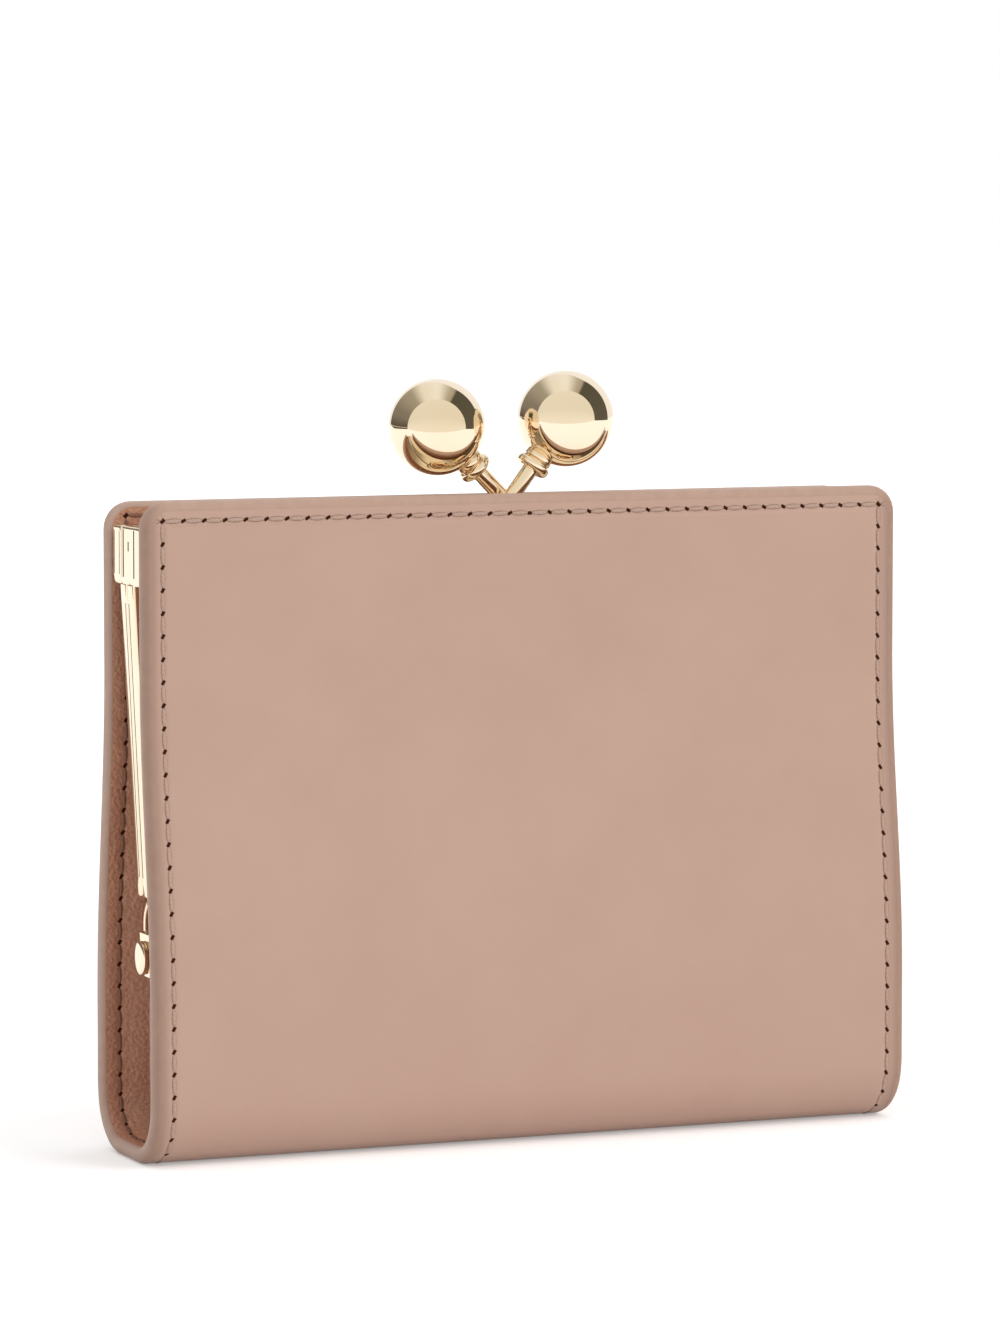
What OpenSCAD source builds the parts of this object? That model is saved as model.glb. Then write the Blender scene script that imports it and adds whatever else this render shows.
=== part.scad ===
// Kiss-lock wallet: a stitched leather book cover round a two-part metal clasp frame.
// The cover stands on its rounded bottom. X runs along the width, the front faces -Y, Z is up.
// The origin is at the middle of the foot that the cover stands on.

/* [Cover] */
// Width of the leather cover
cover_w = 120; // [104:1:150]
// Height of the leather cover
cover_h = 96; // [92:1:120]
// Half of the cover's depth at its top edge
top_half_depth = 9.1; // [8.8:0.1:11]
// Radius of the rounded bottom, which is half of the depth there
bottom_r = 13; // [12:0.5:17]
// Half of the flat foot that the cover stands on
foot_half_w = 3.4; // [2.5:0.1:4]
// Radius between the flat foot and the rounded bottom
foot_r = 7; // [5:0.5:7.5]
// Height below which the sides stand upright
flare_low_z = 22; // [18:1:27]
// Height above which the sides stand upright again
flare_top_z = 72; // [60:1:80]
// Radius of the cover's upper corners
corner_r = 4; // [3:0.5:4.4]
// Rounding of the outer leather's edge
edge_r = 1; // [0.4:0.1:1.1]
// Rounding of the lining's edge
lining_edge_r = 0.5; // [0.2:0.1:0.8]
// Thickness of the outer leather
leather_t = 1.2; // [1.15:0.05:1.6]
// Thickness of the board and padding between the leathers
board_t = 0.8; // [0.4:0.1:1.2]
// Thickness of the lining leather
lining_t = 1.2; // [1:0.1:1.6]
// Width of the stitched rim that has no board in it
rim_w = 4.5; // [4.5:0.1:7]
// Width over which the board is skived down at its edges
skive_w = 1.2; // [0.6:0.1:2]

/* [Clasp frame] */
// How far the frame's top lies below the cover's top edge
rail_drop = 4; // [3:0.5:6]
// Height of the top rail
rail_h = 8.6; // [7:0.1:10]
// How far the rail's ends lie inside the cover's ends
rail_inset = 0.7; // [0.4:0.1:2]
// Gap between the two closed rails
rail_gap = 0.3; // [0.2:0.1:0.8]
// Wall of the rail's channel
rail_wall = 0.8; // [0.6:0.1:1]
// Width of a leg, across the cover's depth
leg_w = 2.7; // [2.3:0.1:2.9]
// How far the front half's end lips reach past the middle of the wallet
lip_reach = 2.1; // [1.6:0.1:2.6]
// Thickness of the end lips
lip_t = 1; // [0.8:0.1:1.2]
// Rounding of the rail's lower outer corners
end_r = 1.5; // [1:0.1:2]
// Width of the slots and grooves pressed into the rail's ends
slit_w = 0.4; // [0.3:0.1:0.5]
// Depth of a leg's channel section
leg_depth = 2.2; // [1.9:0.1:2.4]
// Wall of a leg's channel
leg_wall = 0.6; // [0.5:0.1:0.7]
// How far the legs lean in from the rail's ends to their lower ends
leg_shift = 2.2; // [1.8:0.1:2.4]
// Height of the lower ends of the leg channels
leg_end_z = 38; // [37:0.5:40]
// Thickness of the tails and hinge eyes
eye_t = 1; // [0.8:0.1:1.1]
// Radius of the hinge eyes
eye_r = 2.8; // [2.5:0.1:3]
// Width of the strip between a leg and its eye
tail_w = 1.7; // [1.4:0.1:2]
// How far the tail bows away from the middle of the wallet
tail_bow = 4.4; // [3.6:0.1:5]

/* [Hinge] */
// Height of the hinge axis
hinge_z = 29.3; // [28.5:0.1:30.5]
// How far the outer eye lies inside the cover's end
hinge_inset = 3.1; // [2.8:0.1:3.2]
// Diameter of the rivet's shank
rivet_d = 2.4; // [2:0.1:2.8]
// Radial and axial running gap of the rivet
running_gap = 0.05; // [0.03:0.01:0.1]
// Diameter of the domed outer rivet head
rivet_head_d = 4.9; // [4.4:0.1:5.2]
// Height of the domed outer rivet head
rivet_head_h = 1; // [0.7:0.1:1.2]

/* [Kiss lock] */
// Diameter of the clasp balls
ball_d = 14.3; // [12:0.1:15]
// Diameter of the clasp stems
stem_d = 2.4; // [2:0.1:2.6]
// Distance of each stem's axis from the wallet's middle plane
stem_y = 1.5; // [1.45:0.05:2]
// Where the back stem leaves the rail
back_root_x = 3; // [2:0.1:4]
// Lean of the back stem from upright
back_lean_angle = 45; // [40:1:48]
// Length from the back stem's root to its ball's middle
back_reach = 18.9; // [18:0.1:21]
// Where the front stem leaves the rail
front_root_x = -2.1; // [-4:0.1:-1.5]
// Lean of the front stem from upright
front_lean_angle = 37.5; // [35:0.5:44]
// Length from the front stem's root to its ball's middle
front_reach = 18.2; // [18:0.1:21]
// Diameter of the bead on each stem
bead_d = 5.2; // [4.4:0.1:6]
// Thickness of the bead along the stem
bead_t = 1.7; // [1.2:0.1:2]
// Diameter of the thin ring between bead and ball
ring_d = 4.3; // [3.6:0.1:4.6]
// Thickness of the thin ring between bead and ball
ring_t = 0.6; // [0.4:0.1:0.9]

/* [Bag] */
// Thickness of the bag's leather walls and bottom
bag_t = 1; // [0.8:0.1:1.2]
// Thickness of the folded gussets at the bag's lower ends
gusset_t = 0.7; // [0.5:0.1:0.8]
// How deep the gussets fold in between the halves
fold_depth = 8; // [5:0.5:10]
// Width of the card slots
slot_w = 92; // [88:1:94]
// Flat leather beside the card slots, before the wall turns in to the leg
slot_margin = 1.5; // [1:0.1:2.5]
// Thickness of a card slot's leather
slot_t = 0.6; // [0.4:0.1:0.7]
// Height of the card slots' lower seam
slot_low_z = 33; // [32:0.5:40]
// How far the upper card slot's mouth lies below the rail
slot_drop = 7.4; // [4:0.1:12]
// Step from one card slot's mouth to the next
slot_step = 10; // [8:1:11]
// Diameter of the paper cord that wedges the bag into the rail
cord_d = 3; // [2.4:0.1:3.1]

/* [Hidden] */
$fn = 48;

// Colours as the photograph shows them
leather_colour = [0.78, 0.65, 0.58];
lining_colour = [0.60, 0.45, 0.36];
board_colour = [0.72, 0.66, 0.58];
gold_colour = [0.90, 0.80, 0.68];
paper_colour = [0.80, 0.76, 0.68];

// Length by which a cut runs past the face that it opens
overrun = 1;
// Gap between neighbouring soft pieces
soft_gap = 0.3;
// Gap between leathers that lie on each other
layer_gap = 0.1;
// Gap of pieces that are pressed together
press_gap = 0.02;
// Steps of the curved stretches
arc_steps = 8;
foot_steps = 3;
flare_steps = 8;
bend_steps = 4;
corner_steps = 5;
edge_steps = 3;

// The cover's thickness where it has board, and at its rim
cover_t = leather_t + board_t + lining_t;
rim_t = leather_t + lining_t;
cover_half_w = cover_w / 2;
board_half_w = cover_half_w - rim_w - skive_w;
pad_top = cover_h - rim_w;
// Share of the board's thickness that is left at its skived upper end
skive_end_share = 0.25;
// Glue film that the lining keeps above the board
glue_t = 0.02;

// Angle at which the foot's rounding passes into the bottom's, and the height of the bottom's middle
foot_a = asin(foot_half_w / (bottom_r - foot_r));
bottom_mid_z = foot_r + (bottom_r - foot_r) * cos(foot_a);

// The clasp frame
rail_top = cover_h - rail_drop;
rail_bottom = rail_top - rail_h;
rail_half_w = cover_half_w - rail_inset;
rail_in = rail_gap / 2;
rail_out = top_half_depth - cover_t;
rail_round = 0.7 * rail_wall;
leg_mid_y = rail_in + leg_w / 2;
leg_lean = atan(leg_shift / (rail_bottom - leg_end_z));
leg_foot_x = rail_half_w - leg_shift;
leg_foot_r = 0.45 * leg_w;
leg_plug_h = 1.1 * leg_w;

// The hinge: the front eye lies outside the back eye
front_eye_x = cover_half_w - hinge_inset - eye_t;
back_eye_x = front_eye_x - 2 * running_gap - eye_t;
shoulder_h = 1.29 * eye_r;
shoulder_r = 0.32 * eye_r;
inner_head_d = 0.85 * rivet_head_d;
inner_head_h = 0.6 * rivet_head_h;

// The clasp's stems, seated in the balls and by a tenon through the rail's top
stem_seat = 1.2 * stem_d;
tenon_d = 0.6 * stem_d;

// The bag hangs inside the rail's outer flange, and its bottom follows the cover
bag_out = cover_t + rail_wall;
bag_in = bag_out + bag_t;
bag_half_w = slot_w / 2 + slot_margin;
bag_top = rail_top - rail_wall - layer_gap;
bag_mid = bag_out + bag_t / 2;
slot_pitch = slot_t + layer_gap;

// Share of the way up the flare at a height
function flare_share(z) = max(0, min(1, (z - flare_low_z) / (flare_top_z - flare_low_z)));

// Half of the cover's depth at a height, and its slope there
function half_depth(z) =
    bottom_r - (bottom_r - top_half_depth) * (1 - cos(180 * flare_share(z))) / 2;
function flare_slope(z) =
    -(bottom_r - top_half_depth) * PI / 2 * sin(180 * flare_share(z)) / (flare_top_z - flare_low_z);

// A station is a point [y, z] on the cover's outside with the inward step [y, z] for one unit of depth
function wall_station(z) =
    let (slope = flare_slope(z), size = sqrt(1 + slope * slope))
    [half_depth(z), z, -1 / size, slope / size];
function arc_station(a) =
    a > foot_a
    ? [bottom_r * sin(a), bottom_mid_z - bottom_r * cos(a), -sin(a), cos(a)]
    : [foot_half_w + foot_r * sin(a), foot_r * (1 - cos(a)), -sin(a), cos(a)];

// Stations from the foot up round the bottom's quarter, and on the upright stretch between two heights
function between(low, high, steps) = [for (i = [0:steps]) low + (high - low) * i / steps];
arc_angles = concat(
    between(0, foot_a, foot_steps),
    between(foot_a + (90 - foot_a) / arc_steps, 90, arc_steps - 1)
);
arc_stations = [for (a = arc_angles) arc_station(a)];
lower_levels = between(flare_low_z, hinge_z, 2);
upper_levels = between(hinge_z, flare_top_z, flare_steps);
corner_levels = [
    for (i = [0:corner_steps]) cover_h - corner_r + corner_r * sin(90 * i / corner_steps)
];

// A half's stations, mirrored to the front, and the run of stations round the whole bottom
function to_front(stations) =
    [for (i = [len(stations) - 1:-1:0]) let (s = stations[i]) [-s[0], s[1], -s[2], s[3]]];
function round_bottom(half) = concat(to_front(half), half);

// Half width of the cover at a height, which the upper corners draw in
function half_width(z) =
    z <= cover_h - corner_r
    ? cover_half_w
    : cover_half_w - corner_r + sqrt(max(0, pow(corner_r, 2) - pow(z - cover_h + corner_r, 2)));

// Depth that the rounded top edge takes off at a height
function edge_cut(z, r) =
    z <= cover_h - r ? 0 : r - sqrt(max(0, r * r - pow(z - cover_h + r, 2)));

// Board thickness at a height
function pad(z) = z > pad_top ? glue_t : z == pad_top ? skive_end_share * board_t : board_t;

// Sections across the cover: lists of [x, depth]
function both_sides(half) = concat([for (i = [len(half) - 1:-1:0]) [-half[i][0], half[i][1]]], half);
function leather_section(half_w, cut) =
    let (r = max(edge_r - cut, edge_r / 10))
    both_sides(concat(
        [for (i = [0:edge_steps])
            let (a = 90 * i / edge_steps)
            [half_w - r + r * sin(a), cut + r - r * cos(a)]],
        [[half_w, leather_t]]
    ));
function board_section(thickness) =
    both_sides([
        [board_half_w + skive_w, leather_t],
        [board_half_w, leather_t + thickness]
    ]);
function lining_section(half_w, thickness, cut) =
    let (
        r = lining_edge_r,
        kink = min(board_half_w + skive_w, half_w - 2 * r),
        outside = [[board_half_w, leather_t + thickness], [kink, leather_t], [half_w, leather_t]],
        edge = [for (i = [0:edge_steps - 1])
            let (a = 90 * i / (edge_steps - 1))
            [half_w - r + r * cos(a), rim_t - cut - r + r * sin(a)]],
        inside = [[kink, rim_t - cut], [board_half_w, rim_t - cut + thickness]]
    )
    both_sides(concat(outside, edge, inside));
function plain_section(half_w, from, to) = both_sides([[half_w, from], [half_w, to]]);

// A section laid across a station
function ring(station, section) =
    [for (p = section) [p[0], station[0] + p[1] * station[2], station[1] + p[1] * station[3]]];

// One closed skin over a row of rings that all have as many points
module loft(rings) {
    count = len(rings[0]);
    last = (len(rings) - 1) * count;
    points = [for (one = rings) each one];
    sides = [
        for (i = [0:len(rings) - 2], j = [0:count - 1])
        let (a = i * count + j, b = i * count + (j + 1) % count)
        each [[a, b, a + count], [b, b + count, a + count]]
    ];
    ends = [[for (j = [count - 1:-1:0]) j], [for (j = [0:count - 1]) last + j]];
    polyhedron(points, concat(sides, ends));
}

// Turns a back half's piece into the front half's
module front() {
    mirror([0, 1, 0]) children();
}

// Extrudes an outline drawn in [y, z] along the width
module across(length) {
    rotate([90, 0, 90]) linear_extrude(length) children();
}

// Both ends of the wallet, drawn for the right end
module both_ends() {
    children();
    mirror([1, 0, 0]) children();
}

// Outline of a box with its own radius at each corner, from the lower left one anticlockwise
function corner_arc(mid, r, start) =
    [for (i = [0:edge_steps]) let (a = start + 90 * i / edge_steps) mid + r * [cos(a), sin(a)]];
function round_box(low, high, radii) = concat(
    corner_arc([low[0] + radii[0], low[1] + radii[0]], radii[0], 180),
    corner_arc([high[0] - radii[1], low[1] + radii[1]], radii[1], 270),
    corner_arc([high[0] - radii[2], high[1] - radii[2]], radii[2], 0),
    corner_arc([low[0] + radii[3], high[1] - radii[3]], radii[3], 90)
);

// The outer leather of one panel, from the hinge line to the rounded top edge
module panel_leather() {
    loft([
        for (z = concat(upper_levels, corner_levels))
        ring(wall_station(z), leather_section(half_width(z), edge_cut(z, edge_r)))
    ]);
}

// The stiff board of one panel, skived at its edges
module panel_board() {
    loft([
        for (z = concat(upper_levels, [pad_top - skive_w, pad_top]))
        ring(wall_station(z), board_section(pad(z)))
    ]);
}

// The lining of one panel, which wraps over the board and meets the leather at the rim
module panel_lining() {
    step_levels = [pad_top - skive_w, pad_top, pad_top + skive_end_share * skive_w];
    levels = concat(upper_levels, step_levels, corner_levels);
    loft([
        for (z = levels)
        ring(wall_station(z), lining_section(half_width(z), pad(z), edge_cut(z, lining_edge_r)))
    ]);
}

// The bottom of the cover, bent from one panel round to the other
spine_stations = round_bottom(concat(arc_stations, [for (z = lower_levels) wall_station(z)]));

module spine_layer(section) {
    loft([for (s = spine_stations) ring(s, section)]);
}

// The channel rail along the top of one frame half
module rail() {
    length = 2 * (rail_half_w - leg_depth);
    difference() {
        translate([-length / 2, 0, 0])
            across(length)
                polygon(round_box(
                    [rail_in, rail_bottom], [rail_out, rail_top],
                    [rail_round / 2, rail_round, rail_round, rail_round / 2]
                ));
        translate([-length / 2 - overrun, rail_in + rail_wall, rail_bottom - overrun])
            cube([
                length + 2 * overrun,
                rail_out - rail_in - 2 * rail_wall,
                rail_h - rail_wall + overrun
            ]);
    }
}

// The block that closes the rail's right end. The front half's has a lip that laps past the middle.
module end_block(has_lip) {
    translate([rail_half_w - leg_depth, 0, 0])
        across(leg_depth)
            polygon(round_box(
                [rail_in, rail_bottom], [rail_out, rail_top],
                [rail_round / 2, end_r, rail_round, rail_round / 2]
            ));
    if (has_lip)
        translate([rail_half_w - lip_t, 0, 0])
            across(lip_t)
                polygon(round_box(
                    [-lip_reach, rail_bottom], [rail_out, rail_top],
                    [rail_round, end_r, rail_round, rail_round]
                ));
}

// The room that the back half's right end leaves round that lip
module lip_room() {
    translate([rail_half_w - lip_t - layer_gap, 0, rail_bottom - layer_gap])
        cube([lip_t + layer_gap + overrun, lip_reach + layer_gap, rail_h + layer_gap + overrun]);
}

// Marks pressed into the right end: an upper slot and a lower one in the front half's,
// and a groove down the back half's
slit_depth = 0.8 * slit_w;
upper_slot_h = 3.5 * slit_w;
lower_slot_h = 2.5 * slit_w;
upper_slot_share = 0.15;
lower_slot_share = 0.27;
module end_mark(mid_y, low_z, height) {
    translate([rail_half_w - slit_depth, mid_y - slit_w / 2, low_z])
        cube([slit_depth + overrun, slit_w, height]);
}
module end_marks(has_lip) {
    if (has_lip) {
        end_mark(upper_slot_share * rail_out, rail_top - rail_wall - 2 * upper_slot_h, upper_slot_h);
        end_mark(lower_slot_share * rail_out, rail_bottom - lower_slot_h / 2, lower_slot_h);
    } else {
        end_mark(rail_out - rail_wall, rail_bottom + end_r, rail_h - end_r - rail_wall);
    }
}

// One leg at the right end: a channel that opens inwards, with a closed and rounded foot
module leg() {
    length = (rail_bottom - leg_end_z + leg_depth) / cos(leg_lean);
    intersection() {
        translate([leg_foot_x, rail_in, leg_end_z])
            rotate([0, leg_lean, 0])
                difference() {
                    translate([-leg_depth, 0, -overrun]) cube([leg_depth, leg_w, length + overrun]);
                    translate([-leg_depth - overrun, leg_wall, leg_plug_h])
                        cube([leg_depth - leg_wall + overrun, leg_w - 2 * leg_wall, length]);
                }
        across(cover_w)
            polygon(round_box(
                [rail_in, leg_end_z], [rail_in + leg_w, rail_bottom + leg_depth / 2],
                [leg_foot_r, leg_foot_r, leg_foot_r / 2, leg_foot_r / 2]
            ));
    }
}

// The strip from a leg to its eye bows away from the middle and comes back at the shoulder
tail_ends = [
    [leg_mid_y, leg_end_z + leg_foot_r],
    [leg_mid_y, leg_end_z - tail_w],
    [tail_bow, leg_end_z - tail_w / 2],
    [tail_bow - tail_w / 2, hinge_z + shoulder_h - tail_w / 2]
];
function tail_point(t) =
    pow(1 - t, 3) * tail_ends[0] + 3 * t * pow(1 - t, 2) * tail_ends[1]
    + 3 * t * t * (1 - t) * tail_ends[2] + pow(t, 3) * tail_ends[3];
function tail_side(t, offset) =
    let (
        step = 3 * pow(1 - t, 2) * (tail_ends[1] - tail_ends[0])
            + 6 * t * (1 - t) * (tail_ends[2] - tail_ends[1]) + 3 * t * t * (tail_ends[3] - tail_ends[2]),
        size = norm(step)
    )
    tail_point(t) + offset * [-step[1], step[0]] / size;

module tail(eye_x) {
    steps = 2 * arc_steps;
    translate([eye_x, 0, 0]) {
        across(eye_t)
            polygon(concat(
                [for (i = [0:steps]) tail_side(i / steps, tail_w / 2)],
                [for (i = [steps:-1:0]) tail_side(i / steps, -tail_w / 2)]
            ));
        across(eye_t)
            polygon(round_box(
                [-eye_r, hinge_z - eye_r], [tail_bow, hinge_z + shoulder_h],
                [eye_r, eye_r, shoulder_r, shoulder_r]
            ));
    }
}

// One half of the clasp frame: rail, end blocks, legs, tails and hinge eyes in one stamping
module frame_half(eye_x, root_x, has_lip) {
    difference() {
        union() {
            rail();
            both_ends() {
                end_block(has_lip);
                leg();
                tail(eye_x);
            }
        }
        both_ends() end_marks(has_lip);
        if (!has_lip) both_ends() lip_room();
        both_ends()
            translate([eye_x - overrun, 0, hinge_z])
                rotate([0, 90, 0]) cylinder(d = rivet_d + 2 * running_gap, h = eye_t + 2 * overrun);
        translate([root_x, stem_y, rail_top - rail_wall - overrun])
            cylinder(d = tenon_d + 2 * press_gap, h = rail_wall + 2 * overrun);
    }
}

// A hinge rivet at the right end: shank, domed outer head and flat peened inner head
module hinge_rivet() {
    inner_face = back_eye_x - running_gap;
    outer_face = front_eye_x + eye_t + running_gap;
    head_edge = 0.4 * rivet_head_h;
    translate([inner_face, 0, hinge_z])
        rotate([0, 90, 0])
            rotate_extrude()
                polygon(concat(
                    [
                        [0, -inner_head_h], [inner_head_d / 2, -inner_head_h], [inner_head_d / 2, 0],
                        [rivet_d / 2, 0], [rivet_d / 2, outer_face - inner_face],
                        [rivet_head_d / 2, outer_face - inner_face]
                    ],
                    [for (i = [0:arc_steps])
                        let (a = 90 * i / arc_steps)
                        [
                            rivet_head_d / 2 * cos(a),
                            outer_face - inner_face + head_edge + (rivet_head_h - head_edge) * sin(a)
                        ]]
                ));
}

// The clasp pieces are drawn along a stem that leans from its root on the rail
module on_stem(root_x, lean) {
    translate([root_x, stem_y, rail_top]) rotate([0, lean, 0]) children();
}

module clasp_stem(root_x, lean, reach) {
    difference() {
        on_stem(root_x, lean)
            translate([0, 0, -stem_d]) cylinder(d = stem_d, h = reach - ball_d / 2 + stem_seat + stem_d);
        translate([root_x - 2 * stem_d, stem_y - stem_d, rail_top - 3 * stem_d])
            cube([4 * stem_d, 2 * stem_d, 3 * stem_d]);
    }
    translate([root_x, stem_y, rail_top - rail_wall]) cylinder(d = tenon_d, h = rail_wall);
}

// The collar is a rounded bead and a thin ring, seated against the ball
module clasp_collar(root_x, lean, reach) {
    seat = reach - ball_d / 2;
    bead_top = seat - ring_t;
    on_stem(root_x, lean)
        difference() {
            union() {
                translate([0, 0, bead_top - bead_t])
                    rotate_extrude()
                        polygon(round_box(
                            [0, 0], [bead_d / 2, bead_t],
                            [press_gap, 0.45 * bead_t, 0.45 * bead_t, press_gap]
                        ));
                translate([0, 0, bead_top - ring_t / 2]) cylinder(d = ring_d, h = 2.5 * ring_t);
            }
            translate([0, 0, reach]) sphere(d = ball_d + 2 * press_gap);
            translate([0, 0, bead_top - 2 * bead_t]) cylinder(d = stem_d + 2 * press_gap, h = 4 * bead_t);
        }
}

module clasp_ball(root_x, lean, reach) {
    on_stem(root_x, lean)
        difference() {
            translate([0, 0, reach]) sphere(d = ball_d);
            translate([0, 0, reach - ball_d / 2 - overrun])
                cylinder(d = stem_d + 2 * press_gap, h = stem_seat + press_gap + overrun);
        }
}

// The paper cord that wedges the bag's edge in the rail's channel
module frame_cord() {
    length = 2 * bag_half_w;
    translate([
        -length / 2,
        rail_in + rail_wall + soft_gap / 2 + cord_d / 2,
        rail_top - rail_wall - soft_gap - cord_d / 2
    ])
        rotate([0, 90, 0]) cylinder(d = cord_d, h = length);
}

// A leather sheet that follows the cover's curve at a depth, between two heights
module inner_sheet(half_w, depth, thickness, low, high) {
    bend = min(flare_top_z, high);
    loft([
        for (z = concat(between(low, bend, flare_steps - 2), high > bend ? [high] : []))
        ring(wall_station(z), plain_section(half_w, depth, depth + thickness))
    ]);
}

// Card slots are stacked on the bag's wall, the tallest against the wall
module card_slot(number) {
    inner_sheet(
        slot_w / 2,
        bag_in + layer_gap + number * slot_pitch,
        slot_t,
        slot_low_z,
        rail_bottom - slot_drop - number * slot_step
    );
}

module bag_bottom_trough() {
    side = [for (z = between(flare_low_z, hinge_z - soft_gap / 2, 2)) wall_station(z)];
    half = concat(arc_stations, side);
    loft([for (s = round_bottom(half)) ring(s, plain_section(bag_half_w, bag_out, bag_in))]);
}

// Half of the bag's depth at a height, in the middle of its leather
function bag_half_depth(z) =
    z > bottom_mid_z
    ? half_depth(z) - bag_mid
    : sqrt(max(0, pow(bottom_r - bag_mid, 2) - pow(bottom_mid_z - z, 2)));

// Inner face of the leg at a height, and the heights between which its channel grips the bag
function leg_inner_x(z) = leg_foot_x + (z - leg_end_z) * tan(leg_lean) - leg_depth / cos(leg_lean);
grip_low_z = leg_end_z + leg_plug_h + soft_gap;
grip_top_z = rail_bottom - soft_gap;
below_legs_x = back_eye_x - running_gap - inner_head_h - soft_gap;
tongue_length = leg_depth - leg_wall - soft_gap;

// Where the bag's side ends at a height: beside the leg, or inside the rivet below the legs
function side_x(z) = z < grip_low_z ? below_legs_x : leg_inner_x(min(z, rail_bottom)) - soft_gap;
function tip_x(z) =
    z <= grip_low_z || z >= grip_top_z ? side_x(z) + layer_gap : side_x(z) + soft_gap + tongue_length;

// The side of the bag turns in from its flat wall to the edge beside the leg, in an even S
function turn_share(t) = (1 - cos(180 * t)) / 2;
function turn(z, edge_y, from_x, lag, offset) = [
    for (i = [0:bend_steps])
    let (t = i / bend_steps)
    [
        from_x + (side_x(z) - from_x) * t - lag * sin(180 * t),
        bag_half_depth(z) + (edge_y - bag_half_depth(z)) * turn_share(t) + offset
    ]
];
function reversed(list) = [for (i = [len(list) - 1:-1:0]) list[i]];

// A wall's section at a height, with a tongue that fills the leg's channel
function wall_section(z) =
    both_sides(concat(
        turn(z, leg_mid_y, bag_half_w, 0, bag_t / 2),
        [[tip_x(z), leg_mid_y + bag_t / 2], [tip_x(z), leg_mid_y - bag_t / 2]],
        reversed(turn(z, leg_mid_y, bag_half_w, bag_t / 2, -bag_t / 2))
    ));
wall_levels = concat(
    between(hinge_z + soft_gap / 2, grip_low_z, 2),
    between(grip_low_z + bag_t, grip_top_z - bag_t, flare_steps),
    [grip_top_z, bag_top]
);

module bag_wall() {
    loft([for (z = wall_levels) [for (p = wall_section(z)) [p[0], p[1], z]]]);
}

// A gusset's section at a height: in from the bag's wall to the rivet, and the fold between the halves
gusset_drop_share = 0.8;
gusset_low_z = bottom_mid_z - gusset_drop_share * (bottom_r - bag_mid);
// Largest share of the bag's half depth that lies between the folded edges
edge_share = 0.4;
// Share of the fold's depth that is left at the gusset's lower end
low_fold_share = 0.4;
function gusset_section(z) =
    let (
        rise_share = (z - gusset_low_z) / (hinge_z - gusset_low_z),
        edge_y = min(leg_mid_y, edge_share * bag_half_depth(z)),
        fold_x = side_x(z) - gusset_t - fold_depth * (low_fold_share + (1 - low_fold_share) * rise_share),
        wall_x = bag_half_w + soft_gap,
        inner = turn(z, edge_y, wall_x, gusset_t / 2, -gusset_t / 2),
        half = concat(
            [[fold_x, layer_gap], [side_x(z), edge_y - gusset_t / 2]],
            reversed(turn(z, edge_y, wall_x, 0, gusset_t / 2)),
            [for (i = [0:bend_steps - 1]) inner[i]],
            [[fold_x - gusset_t, layer_gap + gusset_t / 2]]
        )
    )
    concat([for (p = half) [p[0], -p[1]]], reversed(half));
gusset_levels = concat(
    between(gusset_low_z, bottom_mid_z, 3),
    between(flare_low_z, hinge_z - soft_gap / 2, 2)
);

module gusset() {
    loft([for (z = gusset_levels) [for (p = gusset_section(z)) [p[0], p[1], z]]]);
}

module front_cover_leather() { color(leather_colour) front() panel_leather(); }
module front_cover_board() { color(board_colour) front() panel_board(); }
module front_cover_lining() { color(lining_colour) front() panel_lining(); }
module back_cover_leather() { color(leather_colour) panel_leather(); }
module back_cover_board() { color(board_colour) panel_board(); }
module back_cover_lining() { color(lining_colour) panel_lining(); }
module spine_leather() { color(leather_colour) spine_layer(leather_section(cover_half_w, 0)); }
module spine_padding() { color(board_colour) spine_layer(board_section(board_t)); }
module spine_lining() { color(lining_colour) spine_layer(lining_section(cover_half_w, board_t, 0)); }
module front_frame() { color(gold_colour) front() frame_half(front_eye_x, front_root_x, true); }
module back_frame() { color(gold_colour) frame_half(back_eye_x, back_root_x, false); }
module left_hinge_rivet() { color(gold_colour) mirror([1, 0, 0]) hinge_rivet(); }
module right_hinge_rivet() { color(gold_colour) hinge_rivet(); }
module front_clasp_stem() {
    color(gold_colour) front() clasp_stem(front_root_x, front_lean_angle, front_reach);
}
module front_clasp_collar() {
    color(gold_colour) front() clasp_collar(front_root_x, front_lean_angle, front_reach);
}
module front_clasp_ball() {
    color(gold_colour) front() clasp_ball(front_root_x, front_lean_angle, front_reach);
}
module back_clasp_stem() { color(gold_colour) clasp_stem(back_root_x, -back_lean_angle, back_reach); }
module back_clasp_collar() { color(gold_colour) clasp_collar(back_root_x, -back_lean_angle, back_reach); }
module back_clasp_ball() { color(gold_colour) clasp_ball(back_root_x, -back_lean_angle, back_reach); }
module front_bag_wall() { color(lining_colour) front() bag_wall(); }
module back_bag_wall() { color(lining_colour) bag_wall(); }
module bag_bottom() { color(lining_colour) bag_bottom_trough(); }
module left_gusset() { color(lining_colour) mirror([1, 0, 0]) gusset(); }
module right_gusset() { color(lining_colour) gusset(); }
module front_frame_cord() { color(paper_colour) front() frame_cord(); }
module back_frame_cord() { color(paper_colour) frame_cord(); }
module front_card_slot_upper() { color(leather_colour) front() card_slot(0); }
module front_card_slot_middle() { color(leather_colour) front() card_slot(1); }
module front_card_slot_lower() { color(leather_colour) front() card_slot(2); }
module back_card_slot_upper() { color(leather_colour) card_slot(0); }
module back_card_slot_middle() { color(leather_colour) card_slot(1); }
module back_card_slot_lower() { color(leather_colour) card_slot(2); }

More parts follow.
